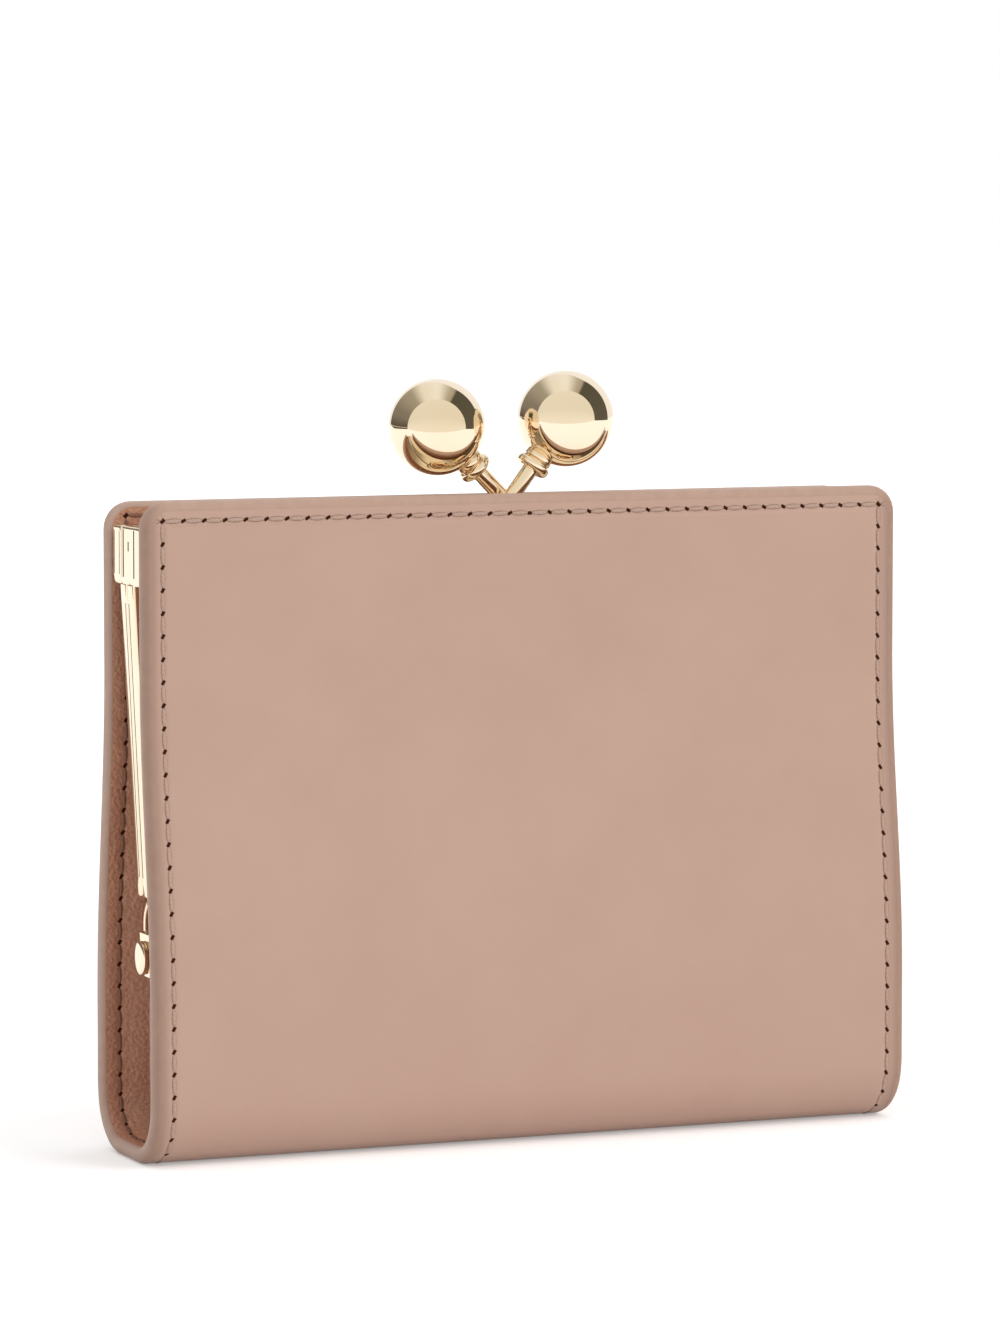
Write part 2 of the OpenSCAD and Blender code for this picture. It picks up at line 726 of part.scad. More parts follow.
front_cover_leather();
front_cover_board();
front_cover_lining();
back_cover_leather();
back_cover_board();
back_cover_lining();
spine_leather();
spine_padding();
spine_lining();
front_frame();
back_frame();
left_hinge_rivet();
right_hinge_rivet();
front_clasp_stem();
front_clasp_collar();
front_clasp_ball();
back_clasp_stem();
back_clasp_collar();
back_clasp_ball();
front_bag_wall();
back_bag_wall();
bag_bottom();
left_gusset();
right_gusset();
front_frame_cord();
back_frame_cord();
front_card_slot_upper();
front_card_slot_middle();
front_card_slot_lower();
back_card_slot_upper();
back_card_slot_middle();
back_card_slot_lower();
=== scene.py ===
"""Dressed model of a kiss-lock wallet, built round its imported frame.

Leather is modelled as it is cut: a flat blank lies face down, with x along the wallet, y along the
path from the middle of the foot to the top edge (below zero on the front half), and z as the depth
in from the outer face. Form.bend then wraps the blank round the wallet.
"""
import logging
import math
from dataclasses import dataclass, field, replace
from enum import Enum
from typing import Callable, Iterable

import bmesh
import bpy
from bmesh.types import BMEdge, BMesh, BMFace, BMVert
from bpy.types import Material, Node, NodeSocket, NodeTree, Object
from mathutils import Matrix, Vector
from mathutils.geometry import interpolate_bezier


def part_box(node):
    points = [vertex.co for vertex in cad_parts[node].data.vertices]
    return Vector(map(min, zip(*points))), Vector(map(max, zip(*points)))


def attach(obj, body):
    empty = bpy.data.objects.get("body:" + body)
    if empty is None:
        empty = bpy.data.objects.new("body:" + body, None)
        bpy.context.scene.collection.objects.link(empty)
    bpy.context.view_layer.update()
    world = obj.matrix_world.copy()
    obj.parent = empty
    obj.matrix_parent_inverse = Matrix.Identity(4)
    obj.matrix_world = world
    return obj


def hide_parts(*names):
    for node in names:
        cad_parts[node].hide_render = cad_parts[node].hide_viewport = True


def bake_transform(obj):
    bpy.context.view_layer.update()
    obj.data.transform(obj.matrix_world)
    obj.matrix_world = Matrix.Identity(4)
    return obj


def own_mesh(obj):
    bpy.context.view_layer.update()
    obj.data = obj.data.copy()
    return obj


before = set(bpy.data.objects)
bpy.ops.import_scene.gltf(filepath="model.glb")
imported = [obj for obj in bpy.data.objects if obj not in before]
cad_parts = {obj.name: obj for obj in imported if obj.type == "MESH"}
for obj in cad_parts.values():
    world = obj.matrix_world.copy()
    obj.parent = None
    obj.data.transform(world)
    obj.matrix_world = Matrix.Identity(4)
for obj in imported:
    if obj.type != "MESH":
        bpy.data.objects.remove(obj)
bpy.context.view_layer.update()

MM = 0.001
LOG = logging.getLogger("wallet")


class Half(Enum):
    """The two halves of the wallet, with the side of the middle plane that each lies on."""

    FRONT = -1
    BACK = 1

    @property
    def body(self) -> str:
        """Name of the body that the half's rigid pieces ride on."""
        return f"{self.name.lower()}_half"

    def named(self, part: str) -> str:
        """Name of this half's own copy of a part."""
        return f"{self.name.lower()}_{part}"


class Face(Enum):
    """The two large faces of a flat blank, with the direction in which each looks."""

    OUTER = -1
    INNER = 1


class Slot(Enum):
    """The record's material slots."""

    COVER = "cover_leather"
    LINING = "lining_leather"
    CARDS = "slot_leather"
    BOARD = "board"
    METAL = "gold_metal"
    PAPER = "paper_cord"


@dataclass(frozen=True)
class Form:
    """The curve that the cover follows, from the middle of its foot to its top edge.

    Heights above the bottom's rounding and path lengths grow alike, so a path is a height plus a
    constant there.
    """

    half_width: float
    height: float
    hinge_height: float
    top_depth: float = 9.1 * MM
    bottom_radius: float = 13.0 * MM
    foot_radius: float = 8.9 * MM
    foot_flat: float = 4.0 * MM
    flare_low: float = 22.0 * MM
    flare_top: float = 72.0 * MM

    @property
    def foot_angle(self) -> float:
        """Angle at which the foot's rounding passes into the bottom's."""
        return math.asin(self.foot_flat / (self.bottom_radius - self.foot_radius))

    @property
    def bottom_middle(self) -> float:
        """Height of the middle of the bottom's rounding."""
        return self.foot_radius + (self.bottom_radius - self.foot_radius) * math.cos(self.foot_angle)

    @property
    def arc_end(self) -> float:
        """Path length at the upper end of the bottom's rounding."""
        turn = math.pi / 2 - self.foot_angle
        return self.foot_flat + self.foot_radius * self.foot_angle + self.bottom_radius * turn

    def path(self, height: float) -> float:
        """Path length at a height above the bottom's rounding."""
        return self.arc_end + height - self.bottom_middle

    def half_depth(self, height: float) -> float:
        """Half of the cover's depth at a height above the bottom's rounding.

        Args:
            height: Height above the foot.

        Returns:
            Distance from the middle plane to the outer face.
        """
        share = (height - self.flare_low) / (self.flare_top - self.flare_low)
        share = max(0.0, min(1.0, share))
        eased = (1 - math.cos(math.pi * share)) / 2
        return self.bottom_radius - (self.bottom_radius - self.top_depth) * eased

    def station(self, path: float) -> tuple[float, float, float]:
        """Finds the outer face at a path length.

        Args:
            path: Path length from the middle of the foot, above zero.

        Returns:
            The distance from the middle plane, the height, and the angle of the inward normal,
            which is zero on the foot and a quarter turn on an upright wall.
        """
        if path <= self.foot_flat:
            return path, 0.0, 0.0
        turned = (path - self.foot_flat) / self.foot_radius
        if turned <= self.foot_angle:
            rise = self.foot_radius * (1 - math.cos(turned))
            return self.foot_flat + self.foot_radius * math.sin(turned), rise, turned
        if path <= self.arc_end:
            angle = math.pi / 2 - (self.arc_end - path) / self.bottom_radius
            rise = self.bottom_middle - self.bottom_radius * math.cos(angle)
            return self.bottom_radius * math.sin(angle), rise, angle
        height = path - self.arc_end + self.bottom_middle
        step = 0.5 * MM
        slope = (self.half_depth(height + step) - self.half_depth(height - step)) / (2 * step)
        return self.half_depth(height), height, math.pi / 2 - math.atan(slope)

    def place(self, flat: Vector) -> Vector:
        """Moves a point of a flat blank to its place on the wallet.

        Args:
            flat: Place along the wallet, path length (below zero at the front), and depth.

        Returns:
            The point in the wallet's frame.
        """
        side = -1.0 if flat.y < 0 else 1.0
        distance, rise, angle = self.station(abs(flat.y))
        return Vector((
            flat.x,
            side * (distance - flat.z * math.sin(angle)),
            rise + flat.z * math.cos(angle),
        ))

    def bend(self, mesh: BMesh) -> None:
        """Wraps a flat blank round the wallet, and keeps its flat places, in millimetres, as "flat".

        Args:
            mesh: The blank, which is changed.
        """
        flat = mesh.verts.layers.float_vector.new("flat")
        for vert in mesh.verts:
            vert[flat] = vert.co / MM
            vert.co = self.place(vert.co)

    def bend_paths(self) -> list[float]:
        """Path lengths at which a blank is cut across so that it can bend.

        Returns:
            The path lengths, of one half, from the bottom upwards.
        """
        low = self.path(self.flare_low)
        high = self.path(self.flare_top)
        bottom = [low * i / BOTTOM_CUTS for i in range(1, BOTTOM_CUTS + 1)]
        flare = [low + (high - low) * i / FLARE_CUTS for i in range(1, FLARE_CUTS + 1)]
        return bottom + flare


BOTTOM_CUTS = 30
FLARE_CUTS = 26
CORNER_JOIN = 0.9 * MM
RING_JOIN = 0.02 * MM
SEAM_JOIN = 1e-6
ON_PLANE = 1e-7
FACING = 0.9
SLANTING = 0.2


def bevel(mesh: BMesh, geom: list, radius: float, segments: int, affect: str = "EDGES") -> None:
    """Rounds edges, or with affect "VERTICES" corners of a flat outline.

    Args:
        mesh: The mesh.
        geom: Its edges or corners that are rounded.
        radius: Radius of the rounding.
        segments: Faces across the rounding.
        affect: What is rounded, "EDGES" or "VERTICES".
    """
    bmesh.ops.bevel(
        mesh, geom=geom, offset=radius, offset_type="OFFSET", segments=segments, profile=0.5,
        affect=affect, material=-1,
    )


def cut(
    mesh: BMesh, place: tuple, normal: tuple, clear: bool = False,
) -> list[BMEdge]:
    """Cuts a mesh along a plane, and gives the edges of the cut.

    Args:
        mesh: The mesh.
        place: A point of the plane.
        normal: The plane's normal.
        clear: Whether what lies beyond the plane goes.

    Returns:
        The edges that lie on the plane.
    """
    made = bmesh.ops.bisect_plane(
        mesh, geom=mesh.verts[:] + mesh.edges[:] + mesh.faces[:], dist=ON_PLANE,
        plane_co=place, plane_no=normal, clear_outer=clear,
    )["geom_cut"]
    return [item for item in made if isinstance(item, BMEdge)]


def extrude(
    mesh: BMesh, faces: list[BMFace], shift: tuple, material: int = 0,
) -> None:
    """Extrudes faces, which stay where they are, and moves the new ones.

    Args:
        mesh: The mesh.
        faces: The faces.
        shift: How far the new faces go.
        material: Index of the material that the new faces get.
    """
    made = bmesh.ops.extrude_face_region(mesh, geom=faces, use_keep_orig=True)["geom"]
    verts = [item for item in made if isinstance(item, BMVert)]
    bmesh.ops.translate(mesh, vec=shift, verts=verts)
    for item in made:
        if isinstance(item, BMFace):
            item.material_index = material


@dataclass
class Blank:
    """A flat piece of leather or board, as wide and long as it is cut."""

    half_width: float
    half_length: float
    corner_radius: float
    outer: float
    inner: float
    corner_steps: int = 8
    mesh: BMesh = field(default_factory=bmesh.new)

    def __post_init__(self) -> None:
        """Cuts the outline, rounds its corners and gives it its thickness."""
        mesh = self.mesh
        bmesh.ops.create_grid(mesh, x_segments=1, y_segments=1, size=1.0)
        bmesh.ops.scale(mesh, vec=(self.half_width, self.half_length, 1.0), verts=mesh.verts)
        bmesh.ops.translate(mesh, vec=(0.0, 0.0, self.outer), verts=mesh.verts)
        if self.corner_radius:
            bevel(mesh, mesh.verts[:], self.corner_radius, self.corner_steps, "VERTICES")
        extrude(mesh, mesh.faces[:], (0.0, 0.0, self.inner - self.outer))
        bmesh.ops.recalc_face_normals(mesh, faces=mesh.faces[:])

    def face(self, side: Face) -> BMFace:
        """The large face that looks to one side."""
        looking = [f for f in self.mesh.faces if f.normal.z * side.value > FACING]
        return max(looking, key=lambda f: f.calc_area())

    def round_edge(self, side: Face, radius: float, segments: int = 4) -> "Blank":
        """Rounds the rim of one face.

        Args:
            side: The face whose rim is rounded.
            radius: Radius of the rounding.
            segments: Faces across the rounding.

        Returns:
            The blank itself.
        """
        bevel(self.mesh, self.face(side).edges[:], radius, segments)
        return self

    def relief(self, side: Face, steps: Iterable[tuple[float, float]]) -> "Blank":
        """Shapes a face by rings that follow its outline inwards.

        Args:
            side: The face that is shaped.
            steps: For each ring, how far it lies inside the last, and how far it rises.

        Returns:
            The blank itself.
        """
        for inwards, rise in steps:
            face = self.face(side)
            bmesh.ops.inset_region(
                self.mesh, faces=[face], thickness=inwards, depth=rise,
                use_even_offset=True, use_boundary=True,
            )
            bmesh.ops.remove_doubles(self.mesh, verts=self.face(side).verts[:], dist=RING_JOIN)
        return self

    def sharpen(self, side: Face) -> "Blank":
        """Draws the small arcs that insets have left at a face's corners together into points.

        Args:
            side: The face whose corners are drawn together.

        Returns:
            The blank itself.
        """
        across = max(vert.co.x for vert in self.face(side).verts)
        along = max(vert.co.y for vert in self.face(side).verts)
        for x in (-across, across):
            for y in (-along, along):
                verts = self.face(side).verts
                corner = Vector((x, y, verts[0].co.z))
                near = [vert for vert in verts if (vert.co - corner).length < CORNER_JOIN]
                bmesh.ops.pointmerge(self.mesh, verts=near, merge_co=corner)
        return self

    def keep(self, half: Half) -> "Blank":
        """Keeps one half of the blank and closes it where it was cut.

        Args:
            half: The half that stays.

        Returns:
            The blank itself.
        """
        rim = cut(self.mesh, (0.0, 0.0, 0.0), (0.0, -half.value, 0.0), clear=True)
        bmesh.ops.edgeloop_fill(self.mesh, edges=rim)
        return self

    def slice(self, paths: Iterable[float]) -> "Blank":
        """Cuts the blank across at path lengths, so that it can bend there.

        Args:
            paths: Path lengths, each cut on both halves.

        Returns:
            The blank itself.
        """
        for path in paths:
            for place in (path, -path):
                cut(self.mesh, (0.0, place, 0.0), (0.0, 1.0, 0.0))
        return self


class Graph:
    """Adds nodes to a node tree and links them by name."""

    def __init__(self, tree: NodeTree) -> None:
        """Takes the tree that the nodes go into."""
        self.tree = tree

    def add(self, kind: str, settings: dict | None = None, **inputs: object) -> Node:
        """Adds a node.

        Args:
            kind: The node's type, without the prefix ShaderNode.
            settings: The node's own properties.
            **inputs: What goes into its sockets, by socket name with _ for a space. A digit at the
                end of a name picks one of several sockets that share it.

        Returns:
            The node.
        """
        node = self.tree.nodes.new("ShaderNode" + kind)
        for name, value in (settings or {}).items():
            setattr(node, name, value)
        for name, value in inputs.items():
            self.feed(self.socket(node, name), value)
        return node

    @staticmethod
    def socket(node: Node, name: str) -> NodeSocket:
        """Finds an input by its name, or by i and its index.

        Args:
            node: The node.
            name: The input's name, with _ for a space.

        Returns:
            The input.
        """
        if name[0] == "i" and name[1:].isdigit():
            return node.inputs[int(name[1:])]
        words = name.replace("_", " ")
        for socket in node.inputs:
            if socket.name == words and socket.enabled:
                return socket
        raise KeyError(f"{node.bl_idname} has no input {words}")

    def feed(self, socket: NodeSocket, value: object) -> None:
        """Links an output to an input, or sets the input's own value.

        Args:
            socket: The input.
            value: A node, an output, or a value.
        """
        if isinstance(value, Node):
            value = value.outputs[0]
        if isinstance(value, NodeSocket):
            self.tree.links.new(value, socket)
        else:
            socket.default_value = value

    def math(self, operation: str, *values: object) -> NodeSocket:
        """Adds a maths node and gives its result.

        Args:
            operation: The node's operation.
            *values: Its operands, sockets or numbers.

        Returns:
            The result.
        """
        node = self.add("Math", {"operation": operation})
        for socket, value in zip(node.inputs, values):
            self.feed(socket, value)
        return node.outputs[0]

    def plus(self, first: object, second: object) -> NodeSocket:
        """Sum of two numbers."""
        return self.math("ADD", first, second)

    def minus(self, first: object, second: object) -> NodeSocket:
        """Difference of two numbers."""
        return self.math("SUBTRACT", first, second)

    def times(self, first: object, second: object) -> NodeSocket:
        """Product of two numbers."""
        return self.math("MULTIPLY", first, second)

    def over(self, first: object, second: object) -> NodeSocket:
        """Quotient of two numbers."""
        return self.math("DIVIDE", first, second)

    def size(self, value: object) -> NodeSocket:
        """A number without its sign."""
        return self.math("ABSOLUTE", value)

    def larger(self, first: object, second: object) -> NodeSocket:
        """The larger of two numbers."""
        return self.math("MAXIMUM", first, second)

    def group(self, name: str, **inputs: object) -> Node:
        """Adds a node group by its name."""
        return self.add("Group", {"node_tree": bpy.data.node_groups[name]}, **inputs)

    def mix(self, share: object, first: object, second: object, blend: str = "MIX") -> NodeSocket:
        """Mixes two colours and gives the result.

        Args:
            share: How much of the second colour there is.
            first: The first colour.
            second: The second colour.
            blend: How the second colour goes on the first.

        Returns:
            The mixed colour.
        """
        node = self.add("Mix", {"data_type": "RGBA", "blend_type": blend})
        self.feed(node.inputs[0], share)
        self.feed(node.inputs[6], first)
        self.feed(node.inputs[7], second)
        return node.outputs[2]

    def scaled(self, vector: object, scale: tuple, turn: float = 0.0) -> NodeSocket:
        """Turns a pattern about z and scales it."""
        turned = self.add("Mapping", i2=(0.0, 0.0, turn), Vector=vector)
        return self.add("Mapping", i3=scale, Vector=turned).outputs[0]

    def noise(
        self, vector: object, scale: float, detail: float = 2.0, rough: float = 0.5,
    ) -> NodeSocket:
        """Adds a noise texture and gives its value."""
        node = self.add("TexNoise", Vector=vector, Scale=scale, Detail=detail, Roughness=rough)
        return node.outputs[0]

    def seen(self) -> NodeSocket:
        """1 for rays from the camera, from reflections and through glass, 0 for rays that light.

        Returns:
            The value's socket.
        """
        rays = self.add("LightPath").outputs
        mirrored = self.larger(rays["Is Glossy Ray"], rays["Is Transmission Ray"])
        return self.larger(rays["Is Camera Ray"], mirrored)

    def ramp(
        self, value: object, low: float, high: float, start: float = 0.0, end: float = 1.0,
    ) -> NodeSocket:
        """Maps a range of a value to another range, and stops at its ends."""
        return self.add("MapRange", i0=value, i1=low, i2=high, i3=start, i4=end).outputs[0]


def linear(red: int, green: int, blue: int) -> tuple[float, float, float, float]:
    """Turns a display colour of 0 to 255 into the linear colour that nodes take.

    Args:
        red: Red.
        green: Green.
        blue: Blue.

    Returns:
        The linear colour with full alpha.
    """
    parts = [c / 255 for c in (red, green, blue)]
    toe = 0.04045
    curve = [p / 12.92 if p <= toe else ((p + 0.055) / 1.055) ** 2.4 for p in parts]
    return (*curve, 1.0)


def shaded(colour: tuple, share: float) -> tuple:
    """A linear colour at a share of its brightness."""
    return (*(c * share for c in colour[:3]), 1.0)


def make_group(
    name: str, inputs: dict[str, object], outputs: Iterable[str], build: Callable,
) -> NodeTree:
    """Makes a shader node group.

    Args:
        name: The group's name.
        inputs: Each input's name with its default, a number or a vector.
        outputs: Names of the outputs, which are all numbers.
        build: Function that takes the group's Graph and its input sockets by name, and returns the
            outputs' sockets in order.

    Returns:
        The group's node tree.
    """
    tree = bpy.data.node_groups.new(name, "ShaderNodeTree")
    for key, default in inputs.items():
        kind = "NodeSocketVector" if isinstance(default, tuple) else "NodeSocketFloat"
        socket = tree.interface.new_socket(key, in_out="INPUT", socket_type=kind)
        socket.default_value = default
    for key in outputs:
        tree.interface.new_socket(key, in_out="OUTPUT", socket_type="NodeSocketFloat")
    entry = tree.nodes.new("NodeGroupInput")
    leave = tree.nodes.new("NodeGroupOutput")
    results = build(Graph(tree), {key: entry.outputs[key] for key in inputs})
    for key, result in zip(outputs, results):
        Graph(tree).feed(leave.inputs[key], result)
    return tree


def grain_group() -> NodeTree:
    """Leather grain: fine pebbles, long faint creases, and slow changes of tone.

    Returns:
        The group's node tree.
    """

    def build(graph: Graph, given: dict) -> list:
        """Builds height and tone.

        Args:
            graph: Graph of the group's tree.
            given: The group's input sockets by name.

        Returns:
            Height and tone.
        """
        place = given["Place"]
        warp = graph.add("TexNoise", Vector=place, Scale=0.9, Detail=2.0).outputs[1]
        warped = graph.add("Mix", {"data_type": "VECTOR"}, i0=0.12, i4=place, i5=warp).outputs[1]
        cells = graph.add("TexVoronoi", {"feature": "SMOOTH_F1"}, Vector=warped, Scale=given["Pebbles"])
        pebbles = graph.times(graph.ramp(cells.outputs[0], 0.1, 0.75), given["Pebble height"])
        streak_at = graph.scaled(place, (0.16, 1.5, 1.0))
        streaks = graph.times(graph.noise(streak_at, 1.6, 3.0), given["Crease height"])
        fine = graph.times(graph.noise(place, 7.0, 2.0), given["Fine height"])
        height = graph.plus(graph.plus(pebbles, streaks), fine)
        tone = graph.noise(place, 0.045, 3.0, 0.6)
        return [height, tone]

    inputs = {
        "Place": (0.0, 0.0, 0.0), "Pebbles": 2.0, "Pebble height": 0.5,
        "Crease height": 0.3, "Fine height": 0.2,
    }
    return make_group("leather grain", inputs, ["Height", "Tone"], build)


def needle_group() -> NodeTree:
    """Needle holes in a row along the sides and the top: masks of the holes and of the puckers' outlines,
    which carry painted shade, and dips round the holes.

    Returns:
        The group's node tree.
    """

    def build(graph: Graph, given: dict) -> list:
        """Builds the rows along the sides and the top, and joins them.

        Args:
            graph: Graph of the group's tree.
            given: The group's input sockets by name.

        Returns:
            Mask of the holes, dips round them, and outlines of the puckers.
        """
        split = graph.add("SeparateXYZ", Vector=given["Place"])
        across = graph.size(split.outputs[0])
        along = graph.size(split.outputs[1])

        def row(offset: object, run: object, pitch: object, limit: object) -> tuple:
            """Holes, dips and puckers of one straight row, up to the limit of its run.

            Args:
                offset: Distance across the row.
                run: Distance along the row.
                pitch: Length of a stitch.
                limit: Where the row ends.

            Returns:
                Holes, dips and outlines.
            """
            turns = graph.plus(graph.over(run, pitch), 0.5)
            step = graph.times(graph.minus(graph.math("FRACT", turns), 0.5), pitch)
            aslant = graph.plus(step, graph.times(offset, 0.5))
            reach = graph.over(graph.size(aslant), given["Length"])
            width = graph.over(graph.size(offset), given["Width"])
            within = graph.math("LESS_THAN", run, limit)
            hole = graph.ramp(graph.plus(reach, width), 1.1, 0.8)
            far = graph.plus(graph.times(reach, reach), graph.times(width, width))
            dip = graph.math("EXPONENT", graph.times(far, -0.25))
            swing = graph.math("SINE", graph.times(graph.over(graph.size(step), pitch), math.pi))
            rim = graph.minus(graph.size(offset), graph.times(swing, given["Pucker"]))
            rim = graph.over(rim, given["Line"])
            line = graph.math("EXPONENT", graph.times(graph.times(rim, rim), -1.0))
            return tuple(graph.times(value, within) for value in (hole, dip, line))

        past_side = graph.plus(given["Side"], 1.0)
        past_top = graph.plus(given["Top"], 1.0)
        side_row = row(graph.minus(across, given["Side"]), along, given["Side pitch"], past_top)
        top_row = row(graph.minus(along, given["Top"]), across, given["Top pitch"], past_side)
        side_row = (*side_row[:2], graph.times(side_row[2], given["Side share"]))
        return [graph.larger(first, second) for first, second in zip(side_row, top_row)]

    inputs = {
        "Place": (0.0, 0.0, 0.0), "Side": 57.0, "Top": 101.0, "Side pitch": 3.2, "Top pitch": 3.2,
        "Length": 0.54, "Width": 0.42, "Pucker": 0.32, "Line": 0.09, "Side share": 0.4,
    }
    return make_group("needle holes", inputs, ["Mask", "Dip", "Line"], build)


def border_group() -> NodeTree:
    """How near a place lies to the cut edge, from 0 inside to 1 at the edge.

    Returns:
        The group's node tree.
    """

    def build(graph: Graph, given: dict) -> list:
        """Builds the distance past the edge's inner line, round the corners too.

        Args:
            graph: Graph of the group's tree.
            given: The group's input sockets by name.

        Returns:
            The mask.
        """
        split = graph.add("SeparateXYZ", Vector=given["Place"])
        reaches = []
        for axis, size in ((0, "Half width"), (1, "Length")):
            inside = graph.minus(graph.size(split.outputs[axis]), given[size])
            reach = graph.larger(graph.plus(inside, given["Corner"]), 0.0)
            reaches.append(graph.times(reach, reach))
        reach = graph.minus(graph.math("SQRT", graph.plus(*reaches)), given["Corner"])
        near = graph.plus(graph.over(reach, given["Fade"]), 1.0)
        smooth = {"interpolation_type": "SMOOTHSTEP"}
        return [graph.add("MapRange", smooth, i0=near, i1=0.0, i2=1.0, i3=0.0, i4=1.0)]

    inputs = {"Place": (0.0, 0.0, 0.0), "Half width": 60.0, "Length": 104.0, "Corner": 4.0, "Fade": 2.0}
    return make_group("border", inputs, ["Mask"], build)


@dataclass(frozen=True)
class Seam:
    """The row of stitches round the cover: along both sides, round the foot and along the top."""

    side: float
    top: float
    side_pitch_wanted: float = 3.26 * MM
    top_pitch_wanted: float = 3.16 * MM

    @property
    def side_count(self) -> int:
        """Stitches from the middle of the foot up to a corner."""
        return round(self.top / self.side_pitch_wanted)

    @property
    def top_count(self) -> int:
        """Stitches from the middle of the top to a corner, twice."""
        return 2 * round(self.side / self.top_pitch_wanted)

    @property
    def side_pitch(self) -> float:
        """Length of a stitch along the sides."""
        return self.top / self.side_count

    @property
    def top_pitch(self) -> float:
        """Length of a stitch along the top."""
        return 2 * self.side / self.top_count

    def holes(self, half: Half) -> list[Vector]:
        """Needle holes of a half, up one side, along the top and down the other, as flat places.

        Args:
            half: The half.

        Returns:
            The holes' places in order.
        """
        turned = half.value
        up = [Vector((-self.side, turned * i * self.side_pitch, 0.0)) for i in range(self.side_count + 1)]
        over = [
            Vector((-self.side + i * self.top_pitch, turned * self.top, 0.0))
            for i in range(1, self.top_count)
        ]
        down = [Vector((-v.x, v.y, 0.0)) for v in reversed(up)]
        return up + over + down


def empty_material(name: str) -> Material:
    """A new material whose node tree is empty.

    Args:
        name: The material's name.

    Returns:
        The material.
    """
    made = bpy.data.materials.new(name)
    made.use_nodes = True
    made.node_tree.nodes.clear()
    return made


@dataclass(frozen=True)
class Finish:
    """A material with its record slot."""

    name: str
    slot: Slot

    def material(self) -> Material:
        """The finish's material, which is made once.

        Returns:
            The material.
        """
        known = bpy.data.materials.get(self.name)
        if known:
            return known
        made = empty_material(self.name)
        graph = Graph(made.node_tree)
        graph.add("OutputMaterial", Surface=self.shader(graph))
        return made

    def shader(self, graph: Graph) -> Node:
        """Builds the finish's nodes and gives its shader."""
        raise NotImplementedError


@dataclass(frozen=True)
class LeatherFinish(Finish):
    """Leather with its grain, tone and needle holes, on the blank's flat places, with painted shade in the
    holes, along the puckers' outlines and towards the rounded cut edge.
    """

    colour: tuple = linear(196, 161, 143)
    tone_colour: tuple = linear(193, 157, 140)
    # Painted shade in the needle holes and along the puckers' outlines.
    hole_shade_colour: tuple = linear(62, 32, 20)
    # Painted shade: the leather darkens towards the rounded cut edge, most along the sides.
    edge_shade_colour: tuple = linear(169, 136, 119)
    edge_shade_size: tuple = ()
    edge_shade_fade: float = 2.0
    pebbles: float = 2.4
    pebble_height: float = 0.3
    crease_height: float = 0.3
    fine_height: float = 0.15
    bump: float = 0.08
    roughness: float = 0.5
    turn: float = 0.0
    streaks: float = 0.0
    streak_scale: tuple = (0.9, 2.4, 1.0)
    streak_share: float = 0.55
    bump_distance: float = 0.1 * MM
    dip_height: float = 1.5
    outline_shade_share: float = 0.5
    seam: Seam | None = None

    def shader(self, graph: Graph) -> Node:
        """Builds grain, tone and holes into one leather shader.

        Args:
            graph: Graph of the material's tree.

        Returns:
            The node that gives the shader.
        """
        flat = graph.add("Attribute", {"attribute_name": "flat"}).outputs[1]
        place = graph.scaled(flat, (1.0, 1.0, 1.0), self.turn)
        grain = graph.group(
            "leather grain", Place=place, Pebbles=self.pebbles, Pebble_height=self.pebble_height,
            Crease_height=self.crease_height, Fine_height=self.fine_height,
        )
        height, tone = grain.outputs
        share = graph.ramp(tone, 0.35, 0.65)
        colour = graph.mix(share, self.colour, self.tone_colour)
        if self.streaks:
            streak = graph.noise(graph.scaled(place, self.streak_scale), 1.3, 3.0)
            darker = shaded(self.tone_colour, self.streak_share)
            colour = graph.mix(graph.ramp(streak, 0.45, 0.75, 0.0, self.streaks), colour, darker)
        # Painted shade on the rounding at the cut edge.
        if self.edge_shade_size:
            half_width, length = self.edge_shade_size
            border = graph.group(
                "border", Place=flat, Half_width=half_width / MM, Length=length / MM, Fade=self.edge_shade_fade,
            )
            colour = graph.mix(border, colour, self.edge_shade_colour)
        if self.seam:
            seam = self.seam
            holes, dips, pucker_shade = graph.group(
                "needle holes", Place=flat, Side=seam.side / MM, Top=seam.top / MM,
                Side_pitch=seam.side_pitch / MM, Top_pitch=seam.top_pitch / MM,
            ).outputs
            # Painted shade along the puckers' outlines and in the needle holes.
            colour = graph.mix(graph.times(pucker_shade, self.outline_shade_share), colour, self.hole_shade_colour)
            colour = graph.mix(holes, colour, self.hole_shade_colour)
            height = graph.minus(height, graph.times(dips, self.dip_height))
        rough = graph.ramp(height, 0.0, 0.6, self.roughness - 0.06, self.roughness + 0.06)
        bump = graph.add("Bump", Strength=self.bump, Distance=self.bump_distance, Height=height)
        shader = graph.add("BsdfPrincipled", Base_Color=colour, Roughness=rough, Normal=bump)
        if self.seam:
            graph.feed(shader.inputs["Specular IOR Level"], graph.ramp(holes, 0.0, 1.0, 0.5, 0.0))
        return shader


